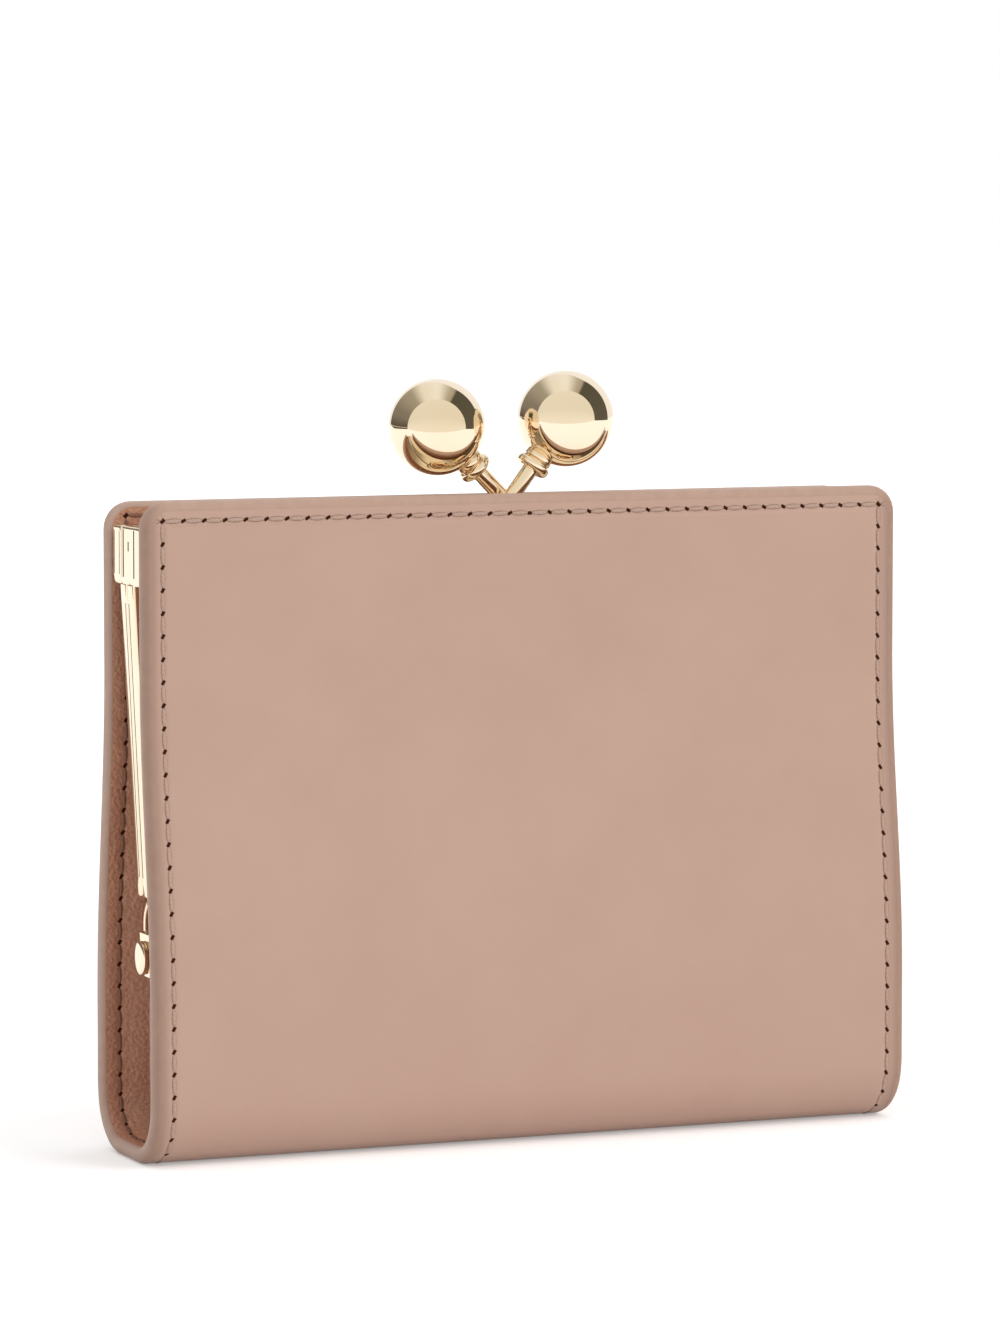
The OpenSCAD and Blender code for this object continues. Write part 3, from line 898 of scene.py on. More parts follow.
@dataclass(frozen=True)
class PaintFinish(Finish):
    """Edge paint: smooth and a little uneven in tone and height, with painted shade at the two ends and on
    its outer rounding, painted light along the top and a painted sheen deeper in.
    """

    half_width: float
    # Painted light: darkest at the outer rounding and the two ends, lighter along the top, and lighter deeper
    # in on the rim's side as a painted sheen.
    colour: tuple = linear(169, 136, 119)
    top_light_colour: tuple = linear(192, 158, 140)
    side_sheen_colour: tuple = linear(196, 166, 150)
    end_shade_fade: float = 4.0
    no_top: float = 1000.0
    outer_depth: float = 0.2
    inner_depth: float = 1.6
    darkest: float = 0.94
    roughness: float = 0.5
    shine: float = 0.25

    def shader(self, graph: Graph) -> Node:
        """Builds the painted edge.

        Args:
            graph: Graph of the material's tree.

        Returns:
            The node that gives the shader.
        """
        flat = graph.add("Attribute", {"attribute_name": "flat"}).outputs[1]
        wave = graph.noise(flat, 0.5, 2.0)
        depth = graph.add("SeparateXYZ", Vector=flat).outputs[2]
        # Painted shade at the two ends, painted light along the top, and painted sheen deeper in.
        ends = graph.group(
            "border", Place=flat, Half_width=self.half_width / MM, Length=self.no_top, Fade=self.end_shade_fade,
        )
        colour = graph.mix(ends, self.top_light_colour, self.colour)
        inwards = graph.ramp(depth, self.outer_depth, self.inner_depth)
        colour = graph.mix(inwards, colour, self.side_sheen_colour)
        darker = graph.mix(1.0, colour, (self.darkest, self.darkest, self.darkest, 1.0), "MULTIPLY")
        colour = graph.mix(graph.ramp(wave, 0.35, 0.65), colour, darker)
        bump = graph.add("Bump", Strength=0.15, Distance=0.1 * MM, Height=wave)
        rough = graph.ramp(wave, 0.3, 0.7, self.roughness - 0.05, self.roughness + 0.05)
        return graph.add(
            "BsdfPrincipled", Base_Color=colour, Roughness=rough, Specular_IOR_Level=self.shine,
            Normal=bump,
        )


@dataclass(frozen=True)
class ThreadFinish(Finish):
    """Sewing thread, with its ply running slantwise round each stitch."""

    colour: tuple = linear(194, 160, 141)
    ply_scale: float = 900.0
    ply_share: float = 0.85

    def shader(self, graph: Graph) -> Node:
        """Builds the twisted thread.

        Args:
            graph: Graph of the material's tree.

        Returns:
            The node that gives the shader.
        """
        place = graph.add("TexCoord").outputs[3]
        wave = graph.add("TexWave", {"bands_direction": "DIAGONAL"}, Vector=place, Scale=self.ply_scale)
        ply = wave.outputs[1]
        darker = shaded(self.colour, self.ply_share)
        colour = graph.mix(ply, darker, self.colour)
        bump = graph.add("Bump", Strength=0.2, Distance=0.05 * MM, Height=ply)
        return graph.add("BsdfPrincipled", Base_Color=colour, Roughness=0.6, Normal=bump)


@dataclass(frozen=True)
class MetalFinish(Finish):
    """Polished pale gold plate with faint polishing marks."""

    colour: tuple = linear(246, 229, 205)
    roughness: float = 0.035
    mark_scale: tuple = (300.0, 300.0, 1400.0)
    warmth: tuple = (0.99, 0.965, 0.92)
    patch_scale: float = 60.0

    def shader(self, graph: Graph) -> Node:
        """Builds the plated metal.

        Args:
            graph: Graph of the material's tree.

        Returns:
            The node that gives the shader.
        """
        place = graph.add("TexCoord").outputs[3]
        marks = graph.noise(graph.scaled(place, self.mark_scale), 1.0, 3.0)
        rough = graph.ramp(marks, 0.35, 0.7, self.roughness * 0.7, self.roughness * 1.5)
        warmer = (*(c * f for c, f in zip(self.colour, self.warmth)), 1.0)
        patches = graph.ramp(graph.noise(place, self.patch_scale), 0.4, 0.6)
        colour = graph.mix(patches, self.colour, warmer)
        return graph.add("BsdfPrincipled", Base_Color=colour, Roughness=rough, Metallic=1.0)


@dataclass(frozen=True)
class FibreFinish(Finish):
    """Pressed board or twisted paper: matt, with short fibres."""

    colour: tuple = linear(196, 184, 164)
    fibre_scale: tuple = (1200.0, 1200.0, 5000.0)
    fibre_turn: float = 0.4
    fibre_share: float = 0.7

    def shader(self, graph: Graph) -> Node:
        """Builds the fibres.

        Args:
            graph: Graph of the material's tree.

        Returns:
            The node that gives the shader.
        """
        place = graph.add("TexCoord").outputs[3]
        fibre = graph.noise(graph.scaled(place, self.fibre_scale, self.fibre_turn), 1.0, 3.0)
        darker = shaded(self.colour, self.fibre_share)
        colour = graph.mix(graph.ramp(fibre, 0.35, 0.7), darker, self.colour)
        bump = graph.add("Bump", Strength=0.3, Distance=0.1 * MM, Height=fibre)
        return graph.add("BsdfPrincipled", Base_Color=colour, Roughness=0.85, Normal=bump)


def put_in_scene(name: str, data: bpy.types.ID) -> Object:
    """Adds an object with its data to the scene.

    Args:
        name: The object's name.
        data: Its mesh, lamp or camera.

    Returns:
        The object.
    """
    added = bpy.data.objects.new(name, data)
    bpy.context.scene.collection.objects.link(added)
    return added


def add_object(mesh: BMesh, name: str, material: Material) -> Object:
    """Makes an object of a mesh, which is freed, with one material.

    Args:
        mesh: The mesh.
        name: Name of the object and its mesh.
        material: Its material.

    Returns:
        The object.
    """
    data = bpy.data.meshes.new(name)
    mesh.to_mesh(data)
    mesh.free()
    data.materials.append(material)
    return put_in_scene(name, data)


def to_object(mesh: BMesh, name: str, finish: Finish, crease: float = 35.0) -> Object:
    """Turns a finished mesh into a piece with its material.

    Args:
        mesh: The mesh, which is freed.
        name: The piece's name.
        finish: The piece's finish.
        crease: Angle in degrees above which an edge stays sharp.

    Returns:
        The piece.
    """
    bmesh.ops.recalc_face_normals(mesh, faces=mesh.faces[:])
    if mesh.calc_volume(signed=True) < 0:
        bmesh.ops.reverse_faces(mesh, faces=mesh.faces[:])
    limit = math.radians(crease)
    for face in mesh.faces:
        face.smooth = True
    for edge in mesh.edges:
        edge.smooth = edge.calc_face_angle(0.0) < limit
    piece = add_object(mesh, name, finish.material())
    LOG.info("%s: %d faces", name, len(piece.data.polygons))
    return piece


@dataclass
class Cover:
    """The cover's leathers, board, painted edge and stitching."""

    form: Form
    leather: float = 1.2 * MM
    board: float = 0.8 * MM
    lining: float = 1.2 * MM
    corner: float = 4.0 * MM
    paint: float = 0.12 * MM
    paint_lap: float = 0.1 * MM
    paint_rise: float = 0.02 * MM
    outer_round: float = 1.15 * MM
    inner_round: float = 0.6 * MM
    rim: float = 4.5 * MM
    skive: float = 4.0 * MM
    seam_side_inset: float = 3.0 * MM
    seam_top_drop: float = 2.8 * MM
    groove: float = 0.08 * MM
    ring: float = 0.3 * MM
    step_ease: float = 0.1
    board_gap: float = 0.03 * MM
    thread_width: float = 0.32 * MM
    thread_height: float = 0.17 * MM
    thread_reach: float = 0.41
    thread_slant: float = 0.1 * MM
    thread_sink: float = 0.35
    thread_segments: int = 8
    thread_rings: int = 6
    front_rise: float = -0.1 * MM
    back_drop: float = 0.75 * MM
    bend_end: float = 29.3 * MM

    def __post_init__(self) -> None:
        """Works out the seam and the finishes."""
        form = self.form
        self.length = form.path(form.height) + self.front_rise
        self.seam = Seam(form.half_width - self.seam_side_inset, self.length - self.seam_top_drop)
        self.outer_finish = LeatherFinish(
            "outer leather", Slot.COVER, seam=self.seam,
            # Painted shade along the leather's rounded side edges.
            edge_shade_size=(form.half_width - self.outer_round, self.length + self.outer_round),
        )
        # Both leathers' needle holes carry painted shade.
        self.lining_finish = LeatherFinish(
            "lining leather", Slot.LINING, seam=self.seam, turn=0.6,
            colour=linear(203, 149, 121), tone_colour=linear(188, 134, 107),
            hole_shade_colour=linear(58, 28, 18), pebbles=2.1, pebble_height=1.8, bump=0.7, streaks=0.3,
        )
        self.paint_finish = PaintFinish("edge paint", Slot.COVER, form.half_width)
        self.thread_finish = ThreadFinish("thread", Slot.COVER)
        self.inner_thread_finish = ThreadFinish("lining thread", Slot.LINING, colour=linear(140, 98, 76))
        self.board_finish = FibreFinish("pressed board", Slot.BOARD)

    def half_length(self, half: Half) -> float:
        """Path length of a half's top edge: the back half ends a little lower."""
        return self.length - self.back_drop if half is Half.BACK else self.length

    @property
    def inner_distance(self) -> float:
        """Distance from the middle plane to the lining, near the top."""
        return self.form.top_depth - self.leather - self.board - self.lining

    @property
    def rim_thickness(self) -> float:
        """Thickness of the rim, where leather and lining meet."""
        return self.leather + self.lining

    def across_joint(self, piece: Object, half: Half) -> None:
        """Bakes a piece's transform into its mesh."""
        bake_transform(piece)

    def wrap(self, blank: Blank, half: Half, name: str, finish: Finish, nodes: list[str]) -> Object:
        """Halves and bends a blank, and makes it a piece that replaces nodes.

        Args:
            blank: The blank, with both halves.
            half: The half that is kept.
            name: The piece's name without its half.
            finish: Its finish.
            nodes: The nodes that it replaces.

        Returns:
            The piece.
        """
        blank.keep(half).slice(self.form.bend_paths())
        self.form.bend(blank.mesh)
        piece = to_object(blank.mesh, half.named(name), finish)
        self.across_joint(piece, half)
        if nodes:
            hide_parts(*nodes)
        return piece

    def groove_steps(self, down: float) -> list[tuple[float, float]]:
        """Rings of a relief with a shallow groove, whose middle lies a distance inside the last ring.

        Args:
            down: How far the groove's middle lies inside the face's rim.

        Returns:
            The rings of the relief.
        """
        ring, groove = self.ring, self.groove
        return [
            (down - 2 * ring, 0.0), (ring, -groove), (ring, -groove / 2), (ring, groove / 2),
            (ring, groove),
        ]

    def make_leather(self, half: Half) -> None:
        """Outer leather, with a shallow groove under the stitches.

        Args:
            half: The half that the piece belongs to.
        """
        lap = self.paint
        length = self.half_length(half)
        blank = Blank(self.form.half_width - lap, length - lap, self.corner - lap, 0.0, self.leather)
        blank.round_edge(Face.OUTER, self.outer_round)
        down = self.seam_side_inset - self.outer_round - lap
        blank.relief(Face.OUTER, self.groove_steps(down)).sharpen(Face.OUTER)
        blank.relief(Face.OUTER, [(self.ring, 0.0)])
        nodes = [half.named("cover_leather"), "spine_leather"]
        self.wrap(blank, half, "cover_skin", self.outer_finish, nodes)

    def make_board(self, half: Half) -> None:
        """The board between the leathers, skived at its rim.

        Args:
            half: The half that the piece belongs to.
        """
        gap = self.board_gap
        width = self.form.half_width - self.rim
        length = self.half_length(half) - self.rim
        blank = Blank(width, length, 0.0, self.leather + gap, self.leather + 2 * gap)
        blank.relief(Face.INNER, [(self.skive, self.board - 3 * gap)])
        nodes = [half.named("cover_board"), "spine_padding"]
        self.wrap(blank, half, "stiff_board", self.board_finish, nodes)

    def make_lining(self, half: Half) -> None:
        """The lining, which lies flat on the rim and steps up over the board.

        Args:
            half: The half that the piece belongs to.
        """
        lap = self.paint
        length = self.half_length(half)
        blank = Blank(
            self.form.half_width - lap, length - lap, self.corner - lap, self.leather, self.rim_thickness,
        )
        blank.round_edge(Face.INNER, self.inner_round, segments=3)
        down = self.seam_side_inset - self.inner_round - lap
        blank.relief(Face.INNER, self.groove_steps(down)).sharpen(Face.INNER)
        ring = self.ring
        to_board = self.rim - self.seam_side_inset - 2 * ring
        eased = self.step_ease * self.board
        blank.relief(Face.INNER, [
            (to_board - ring, 0.0), (ring, eased), (self.skive - 2 * ring, self.board - 2 * eased),
            (ring, eased), (ring, 0.0),
        ])
        first = self.corner - lap - ring
        blank.relief(Face.OUTER, [(first, 0.0)]).sharpen(Face.OUTER)
        blank.relief(Face.OUTER, [(self.rim - lap - first, 0.0), (self.skive, -self.board)])
        nodes = [half.named("cover_lining"), "spine_lining"]
        self.wrap(blank, half, "lining_skin", self.lining_finish, nodes)

    def make_paint(self, half: Half) -> None:
        """The painted edge: a thin skin over the rims of leather and lining.

        Args:
            half: The half that the piece belongs to.
        """
        rise = self.paint_rise
        blank = Blank(
            self.form.half_width, self.half_length(half), self.corner, -rise, self.rim_thickness + rise,
        )
        blank.round_edge(Face.OUTER, self.outer_round + self.paint, segments=5)
        blank.round_edge(Face.INNER, self.inner_round + self.paint, segments=3)
        for side in Face:
            blank.relief(side, [(self.paint_lap, 0.0)])
        open_faces = [blank.face(side) for side in Face]
        bmesh.ops.delete(blank.mesh, geom=open_faces, context="FACES_ONLY")
        skin = blank.mesh
        bmesh.ops.solidify(skin, geom=skin.faces[:], thickness=self.paint)
        rim = cut(skin, (0.0, 0.0, 0.0), (0.0, -half.value, 0.0), clear=True)
        bmesh.ops.contextual_create(skin, geom=rim)
        blank.slice(self.form.bend_paths())
        self.form.bend(skin)
        piece = to_object(skin, half.named("edge_paint"), self.paint_finish, crease=60.0)
        self.across_joint(piece, half)

    def make_stitches(self, half: Half, side: Face) -> None:
        """One row of stitches, on the outside or on the lining.

        Args:
            half: The half that the piece belongs to.
            side: The cover's outside or its inside.
        """
        surface = 0.0 if side is Face.OUTER else self.rim_thickness
        finish = self.thread_finish if side is Face.OUTER else self.inner_thread_finish
        mesh = bmesh.new()
        holes = self.seam.holes(half)
        slant = self.thread_slant
        sunk = surface - side.value * self.thread_sink * self.thread_height
        for start, end in zip(holes, holes[1:]):
            along = (end - start).normalized()
            up = Vector((0.0, 0.0, float(side.value)))
            across = up.cross(along)
            tilted = (along * (end - start).length + across * slant).normalized()
            across = up.cross(tilted)
            size = ((end - start).length * self.thread_reach, self.thread_width, self.thread_height)
            middle = (start + end) / 2 + Vector((0.0, 0.0, sunk))
            basis = Matrix((across * size[1], up * size[2], tilted * size[0])).transposed().to_4x4()
            bmesh.ops.create_uvsphere(
                mesh, u_segments=self.thread_segments, v_segments=self.thread_rings, radius=1.0,
                matrix=Matrix.Translation(middle) @ basis,
            )
        self.form.bend(mesh)
        word = "outer" if side is Face.OUTER else "lining"
        piece = to_object(mesh, half.named(f"{word}_stitches"), finish, crease=80.0)
        self.across_joint(piece, half)

    def build(self) -> None:
        """Makes every piece of the cover, half by half."""
        for half in Half:
            self.make_leather(half)
            self.make_board(half)
            self.make_lining(half)
            self.make_paint(half)
            for side in Face:
                self.make_stitches(half, side)


@dataclass
class Plate:
    """A plate or block of metal: an outline of distance and height, extruded along the wallet.

    Each corner of the outline is its distance from the middle plane, its height and its radius.
    """

    corners: list[tuple[float, float, float]]
    start: float
    thickness: float
    edge: float
    corner_steps: int = 5
    edge_steps: int = 3

    def build(self) -> BMesh:
        """Extrudes the outline and rounds the rim of its outer end.

        Returns:
            The plate.
        """
        mesh = bmesh.new()
        verts = [mesh.verts.new((self.start, y, z)) for y, z, radius in self.corners]
        mesh.faces.new(verts)
        radii = [radius for y, z, radius in self.corners]
        for vert, radius in zip(verts, radii):
            if radius:
                bevel(mesh, [vert], radius, self.corner_steps, "VERTICES")
        extrude(mesh, mesh.faces[:], (self.thickness, 0.0, 0.0))
        bmesh.ops.recalc_face_normals(mesh, faces=mesh.faces[:])
        rim = max(mesh.faces, key=lambda f: f.normal.x)
        bevel(mesh, rim.edges[:], self.edge, self.edge_steps)
        return mesh


def sink(mesh: BMesh, floor: list[BMFace], shift: tuple, material: int = 0) -> None:
    """Pushes neighbouring faces of a solid in, with walls round them.

    Args:
        mesh: The solid.
        floor: The faces.
        shift: How far they go.
        material: Index of the material that the sunk faces and the walls get.
    """
    extrude(mesh, floor, shift, material)
    bmesh.ops.delete(mesh, geom=floor, context="FACES")
    bmesh.ops.recalc_face_normals(mesh, faces=mesh.faces[:])


def press_slot(mesh: BMesh, middle: float, width: float, low: float, high: float) -> None:
    """Presses a slot, as deep as it is wide, into the outer end of a block.

    Args:
        mesh: The block.
        middle: Distance of the slot's middle from the middle plane.
        width: The slot's width.
        low: Height of its lower end.
        high: Height of its upper end.
    """
    left, right = middle - width / 2, middle + width / 2
    cuts = [((0.0, y, 0.0), (0.0, 1.0, 0.0)) for y in (left, right)]
    cuts += [((0.0, 0.0, z), (0.0, 0.0, 1.0)) for z in (low, high)]
    for place, normal in cuts:
        cut(mesh, place, normal)
    floor = []
    for face in mesh.faces:
        at = face.calc_center_median()
        if face.normal.x > SLANTING and left < at.y < right and low < at.z < high:
            floor.append(face)
    # The slot's floor and walls get material 1, the painted shade and dark reflection.
    sink(mesh, floor, (-width, 0.0, 0.0), 1)


def lathe(points: list[tuple[float, float, float]], axis: tuple, steps: int) -> BMesh:
    """Spins a chain of points round an axis through the origin.

    Args:
        points: The chain, with its ends on the axis or at one point.
        axis: The axis.
        steps: Faces round it.

    Returns:
        The closed shape.
    """
    mesh = bmesh.new()
    verts = [mesh.verts.new(point) for point in points]
    chain = [mesh.edges.new(pair) for pair in zip(verts, verts[1:])]
    bmesh.ops.spin(
        mesh, geom=verts + chain, cent=(0.0, 0.0, 0.0), axis=axis, angle=2 * math.pi, steps=steps,
        use_merge=True,
    )
    bmesh.ops.remove_doubles(mesh, verts=mesh.verts[:], dist=ON_PLANE)
    return mesh


@dataclass
class ClaspFrame:
    """The two metal halves, each with rail, end blocks, channel legs, tails and eyes, and the rivets."""

    form: Form
    half_width: float
    top: float
    outside: float
    inside: float = 0.15 * MM
    rail_height: float = 8.6 * MM
    wall: float = 0.8 * MM
    rail_round: float = 0.56 * MM
    hidden_edge: float = 0.01 * MM
    end_round: float = 1.5 * MM
    block_length: float = 2.2 * MM
    lip_reach: float = 2.1 * MM
    lip_thickness: float = 1.0 * MM
    lip_gap: float = 0.1 * MM
    seam_gap: float = 0.3 * MM
    slot_width: float = 0.45 * MM
    line_width: float = 0.25 * MM
    line_inset: float = 0.6 * MM
    plate_round: float = 0.4 * MM
    front_slots: tuple = (
        (0.15, 5.0 * MM, 6.4 * MM), (0.27, -0.4 * MM, 0.4 * MM),
        (0.56, 1.2 * MM, 8.1 * MM), (-0.21, 1.2 * MM, 8.1 * MM),
    )
    edge_break: float = 0.15 * MM
    leg_width: float = 2.7 * MM
    leg_wall: float = 0.6 * MM
    leg_shift: float = 2.2 * MM
    leg_end: float = 38.0 * MM
    leg_plug: float = 3.0 * MM
    leg_foot_share: float = 0.45
    leg_reach_share: float = 0.2
    tail_width: float = 1.7 * MM
    tail_bow: float = 4.4 * MM
    tail_steps: int = 25
    eye_radius: float = 2.8 * MM
    eye_thickness: float = 1.0 * MM
    eye_inset: float = 3.1 * MM
    eye_gap: float = 0.1 * MM
    shoulder_height: float = 3.6 * MM
    shoulder_round: float = 0.9 * MM
    rivet_segments: int = 48
    rivet_shank: float = 1.2 * MM
    rivet_head: float = 1.0 * MM
    rivet_brim: float = 0.7 * MM
    rivet_inner_head: float = 0.6 * MM
    rivet_inner_share: float = 0.85
    rivet_soft: float = 0.12 * MM
    dome_steps: int = 12
    metal: MetalFinish = MetalFinish("gold plate", Slot.METAL)
    # Painted shade and dark reflection for the floors and walls of the pressed slots, which get material 1.
    slot_shade_metal: MetalFinish = MetalFinish("painted slot shade", Slot.METAL, colour=linear(92, 78, 52), roughness=0.6)

    def build(self) -> None:
        """Makes both halves and both rivets."""
        for half in Half:
            self.make_half(half)
        for side, name in ((-1.0, "left_hinge_rivet"), (1.0, "right_hinge_rivet")):
            self.make_rivet(side, name)

    @property
    def bottom(self) -> float:
        """Height of the rail's lower rim."""
        return self.top - self.rail_height

    def leg_inner_face(self, height: float) -> float:
        """Place along the wallet of the right leg's inner face at a height.

        Args:
            height: The height.

        Returns:
            The place.
        """
        lean = math.atan(self.leg_shift / (self.bottom - self.leg_end))
        foot = self.half_width - self.leg_shift - self.block_length / math.cos(lean)
        return foot + (min(height, self.bottom) - self.leg_end) * math.tan(lean)

    def rail(self) -> BMesh:
        """The rail between the end blocks: a channel that opens downwards.

        Returns:
            The rail's right half.
        """
        low, high = self.bottom, self.top
        near, far, wall = self.inside, self.outside, self.wall
        fold, rim = self.rail_round - wall / 4, self.edge_break
        channel = Plate([
            (near, low, rim), (near + wall, low, rim), (near + wall, high - wall, fold),
            (far - wall, high - wall, fold), (far - wall, low, rim), (far, low, rim),
            (far, high, self.rail_round), (near, high, self.rail_round / 2),
        ], 0.0, self.half_width - self.block_length + rim, self.hidden_edge)
        return channel.build()

    def block(self, half: Half) -> list[BMesh]:
        """The right end block: its body and its outer plate, with the marks pressed into it.

        Args:
            half: The half that the piece belongs to.

        Returns:
            The body and the plate.
        """
        front = half is Half.FRONT
        low, high = self.bottom, self.top
        near, far, bend = self.inside, self.outside, self.rail_round
        start = self.half_width - self.block_length
        length = self.block_length - self.lip_thickness
        body = Plate([
            (near, low, bend / 2), (far, low, self.end_round), (far, high, bend), (near, high, bend / 2),
        ], start, length, self.edge_break).build()
        edge = -self.lip_reach if front else self.lip_reach + self.seam_gap
        overlap = self.lip_gap
        plate = Plate([
            (edge, low, bend), (far, low, self.end_round), (far, high, bend), (edge, high, bend),
        ], start + length - overlap, self.lip_thickness + overlap, self.plate_round, edge_steps=5).build()
        if front:
            for share, lower, upper in self.front_slots:
                press_slot(plate, share * far, self.slot_width, low + lower, low + upper)
        else:
            for middle in (far - self.wall, edge + self.line_inset):
                press_slot(plate, middle, self.line_width, low + self.end_round, high - self.wall)
        return [body, plate]

    def leg(self) -> BMesh:
        """The right leg: a channel that opens inwards, with a closed and rounded foot.

        Returns:
            The leg.
        """
        rise = self.bottom - self.leg_end
        lean = math.atan(self.leg_shift / rise)
        foot = self.leg_foot_share * self.leg_width
        near, far = self.inside, self.inside + self.leg_width
        top = rise / math.cos(lean) + self.leg_reach_share * self.block_length
        mesh = Plate([
            (near, 0.0, foot), (far, 0.0, foot), (far, top, 0.0), (near, top, 0.0),
        ], -self.block_length, self.block_length, self.plate_round, edge_steps=5).build()
        hollow = min(mesh.faces, key=lambda f: f.normal.x)
        bmesh.ops.inset_region(
            mesh, faces=[hollow], thickness=self.leg_wall, depth=0.0, use_even_offset=True, use_boundary=True,
        )
        hollow = max((f for f in mesh.faces if f.normal.x < -FACING), key=lambda f: f.calc_area())
        lower = [vert for vert in hollow.verts if vert.co.z < self.leg_plug]
        bmesh.ops.translate(mesh, vec=(0.0, 0.0, self.leg_plug - self.leg_wall), verts=lower)
        sink(mesh, [hollow], (self.block_length - self.leg_wall, 0.0, 0.0))
        press_slot(mesh, near + self.line_inset, self.line_width, self.leg_plug, top - self.leg_plug)
        place = Matrix.Translation((self.half_width - self.leg_shift, 0.0, self.leg_end))
        bmesh.ops.transform(mesh, matrix=place @ Matrix.Rotation(lean, 4, "Y"), verts=mesh.verts[:])
        return mesh

    def tail(self, half: Half) -> list[BMesh]:
        """The strip that bows out from the right leg to its eye, and the eye's plate.

        Args:
            half: The half that the piece belongs to.

        Returns:
            The strip and the eye's plate.
        """
        hinge = self.form.hinge_height
        middle = self.inside + self.leg_width / 2
        width, bow, eye = self.tail_width, self.tail_bow, self.eye_radius
        start = self.form.half_width - self.eye_inset - self.eye_thickness
        if half is Half.BACK:
            start -= self.eye_thickness + self.eye_gap
        foot = self.leg_end + self.leg_foot_share * self.leg_width
        line = interpolate_bezier(
            (start, middle, foot), (start, middle, self.leg_end - width),
            (start, bow, self.leg_end - width / 2),
            (start, bow - width / 2, hinge + self.shoulder_height - width / 2), self.tail_steps,
        )
        mesh = bmesh.new()
        chains = []
        for side in (-0.5, 0.5):
            verts = []
            for before, at, after in zip(line[:1] + line, line, line[1:] + line[-1:]):
                step = (after - before).normalized()
                verts.append(mesh.verts.new(at + side * width * Vector((0.0, -step.z, step.y))))
            chains.append([mesh.edges.new(pair) for pair in zip(verts, verts[1:])])
        bmesh.ops.bridge_loops(mesh, edges=chains[0] + chains[1])
        extrude(mesh, mesh.faces[:], (self.eye_thickness, 0.0, 0.0))
        bmesh.ops.recalc_face_normals(mesh, faces=mesh.faces[:])
        rims = [edge for edge in mesh.edges if edge.calc_face_angle(0.0) > math.radians(60.0)]
        bevel(mesh, rims, self.edge_break, 2)
        plate = Plate([
            (-eye, hinge - eye, eye), (bow, hinge - eye, eye),
            (bow, hinge + self.shoulder_height, self.shoulder_round),
            (-eye, hinge + self.shoulder_height, self.shoulder_round),
        ], start, self.eye_thickness, self.edge_break, corner_steps=12).build()
        return [mesh, plate]

    def make_half(self, half: Half) -> None:
        """Puts one half of the frame together from its rail and both ends.

        Args:
            half: The half that the piece belongs to.
        """
        mesh = bmesh.new()
        for part in [self.rail(), *self.block(half), self.leg(), *self.tail(half)]:
            step = bpy.data.meshes.new("step")
            part.to_mesh(step)
            part.free()
            mesh.from_mesh(step)
            bpy.data.meshes.remove(step)
        twin = bmesh.ops.duplicate(mesh, geom=mesh.verts[:] + mesh.edges[:] + mesh.faces[:])["geom"]
        other = [item for item in twin if isinstance(item, BMVert)]
        bmesh.ops.scale(mesh, vec=(-1.0, 1.0, 1.0), verts=other)
        bmesh.ops.scale(mesh, vec=(1.0, half.value, 1.0), verts=mesh.verts[:])
        caps = [face for face in mesh.faces if all(abs(vert.co.x) < SEAM_JOIN for vert in face.verts)]
        bmesh.ops.delete(mesh, geom=caps, context="FACES_ONLY")
        middle = [vert for vert in mesh.verts if abs(vert.co.x) < SEAM_JOIN]
        bmesh.ops.remove_doubles(mesh, verts=middle, dist=SEAM_JOIN)
        piece = to_object(mesh, half.named("frame_metal"), self.metal, crease=40.0)
        # Material 1: painted shade and dark reflection in the pressed slots.
        piece.data.materials.append(self.slot_shade_metal.material())
        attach(piece, half.body)
        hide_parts(half.named("frame"))

    def make_rivet(self, side: float, node: str) -> None:
        """A rivet spun from its profile: flat inner head, shank and domed outer head.

        Args:
            side: -1 at the left end, 1 at the right.
            node: The node that the rivet replaces.
        """
        low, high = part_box(node)
        inner, outer = (low.x, high.x) if side > 0 else (-high.x, -low.x)
        radius = (high.z - low.z) / 2
        middle = (high.z + low.z) / 2
        soft, shank, brim = self.rivet_soft, self.rivet_shank, self.rivet_brim
        small = self.rivet_inner_share * radius
        neck, head = inner + self.rivet_inner_head, outer - self.rivet_head
        turns = [math.pi / 2 * i / self.dome_steps for i in range(self.dome_steps)]
        rise = self.rivet_head - brim
        dome = [(head + brim + rise * math.sin(turn), radius * math.cos(turn)) for turn in turns]
        outline = [
            (inner, 0.0), (inner, small - soft), (inner + soft, small), (neck - soft, small),
            (neck, small - soft), (neck, shank), (head, shank), (head, radius - soft),
            (head + soft, radius), *dome, (outer, 0.0),
        ]
        mesh = lathe([(x, 0.0, r) for x, r in outline], (1.0, 0.0, 0.0), self.rivet_segments)
        bmesh.ops.scale(mesh, vec=(side, 1.0, 1.0), verts=mesh.verts[:])
        bmesh.ops.translate(mesh, vec=(0.0, 0.0, middle), verts=mesh.verts[:])
        piece = to_object(mesh, node + "_metal", self.metal, crease=40.0)
        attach(piece, "spine")
        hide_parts(node)


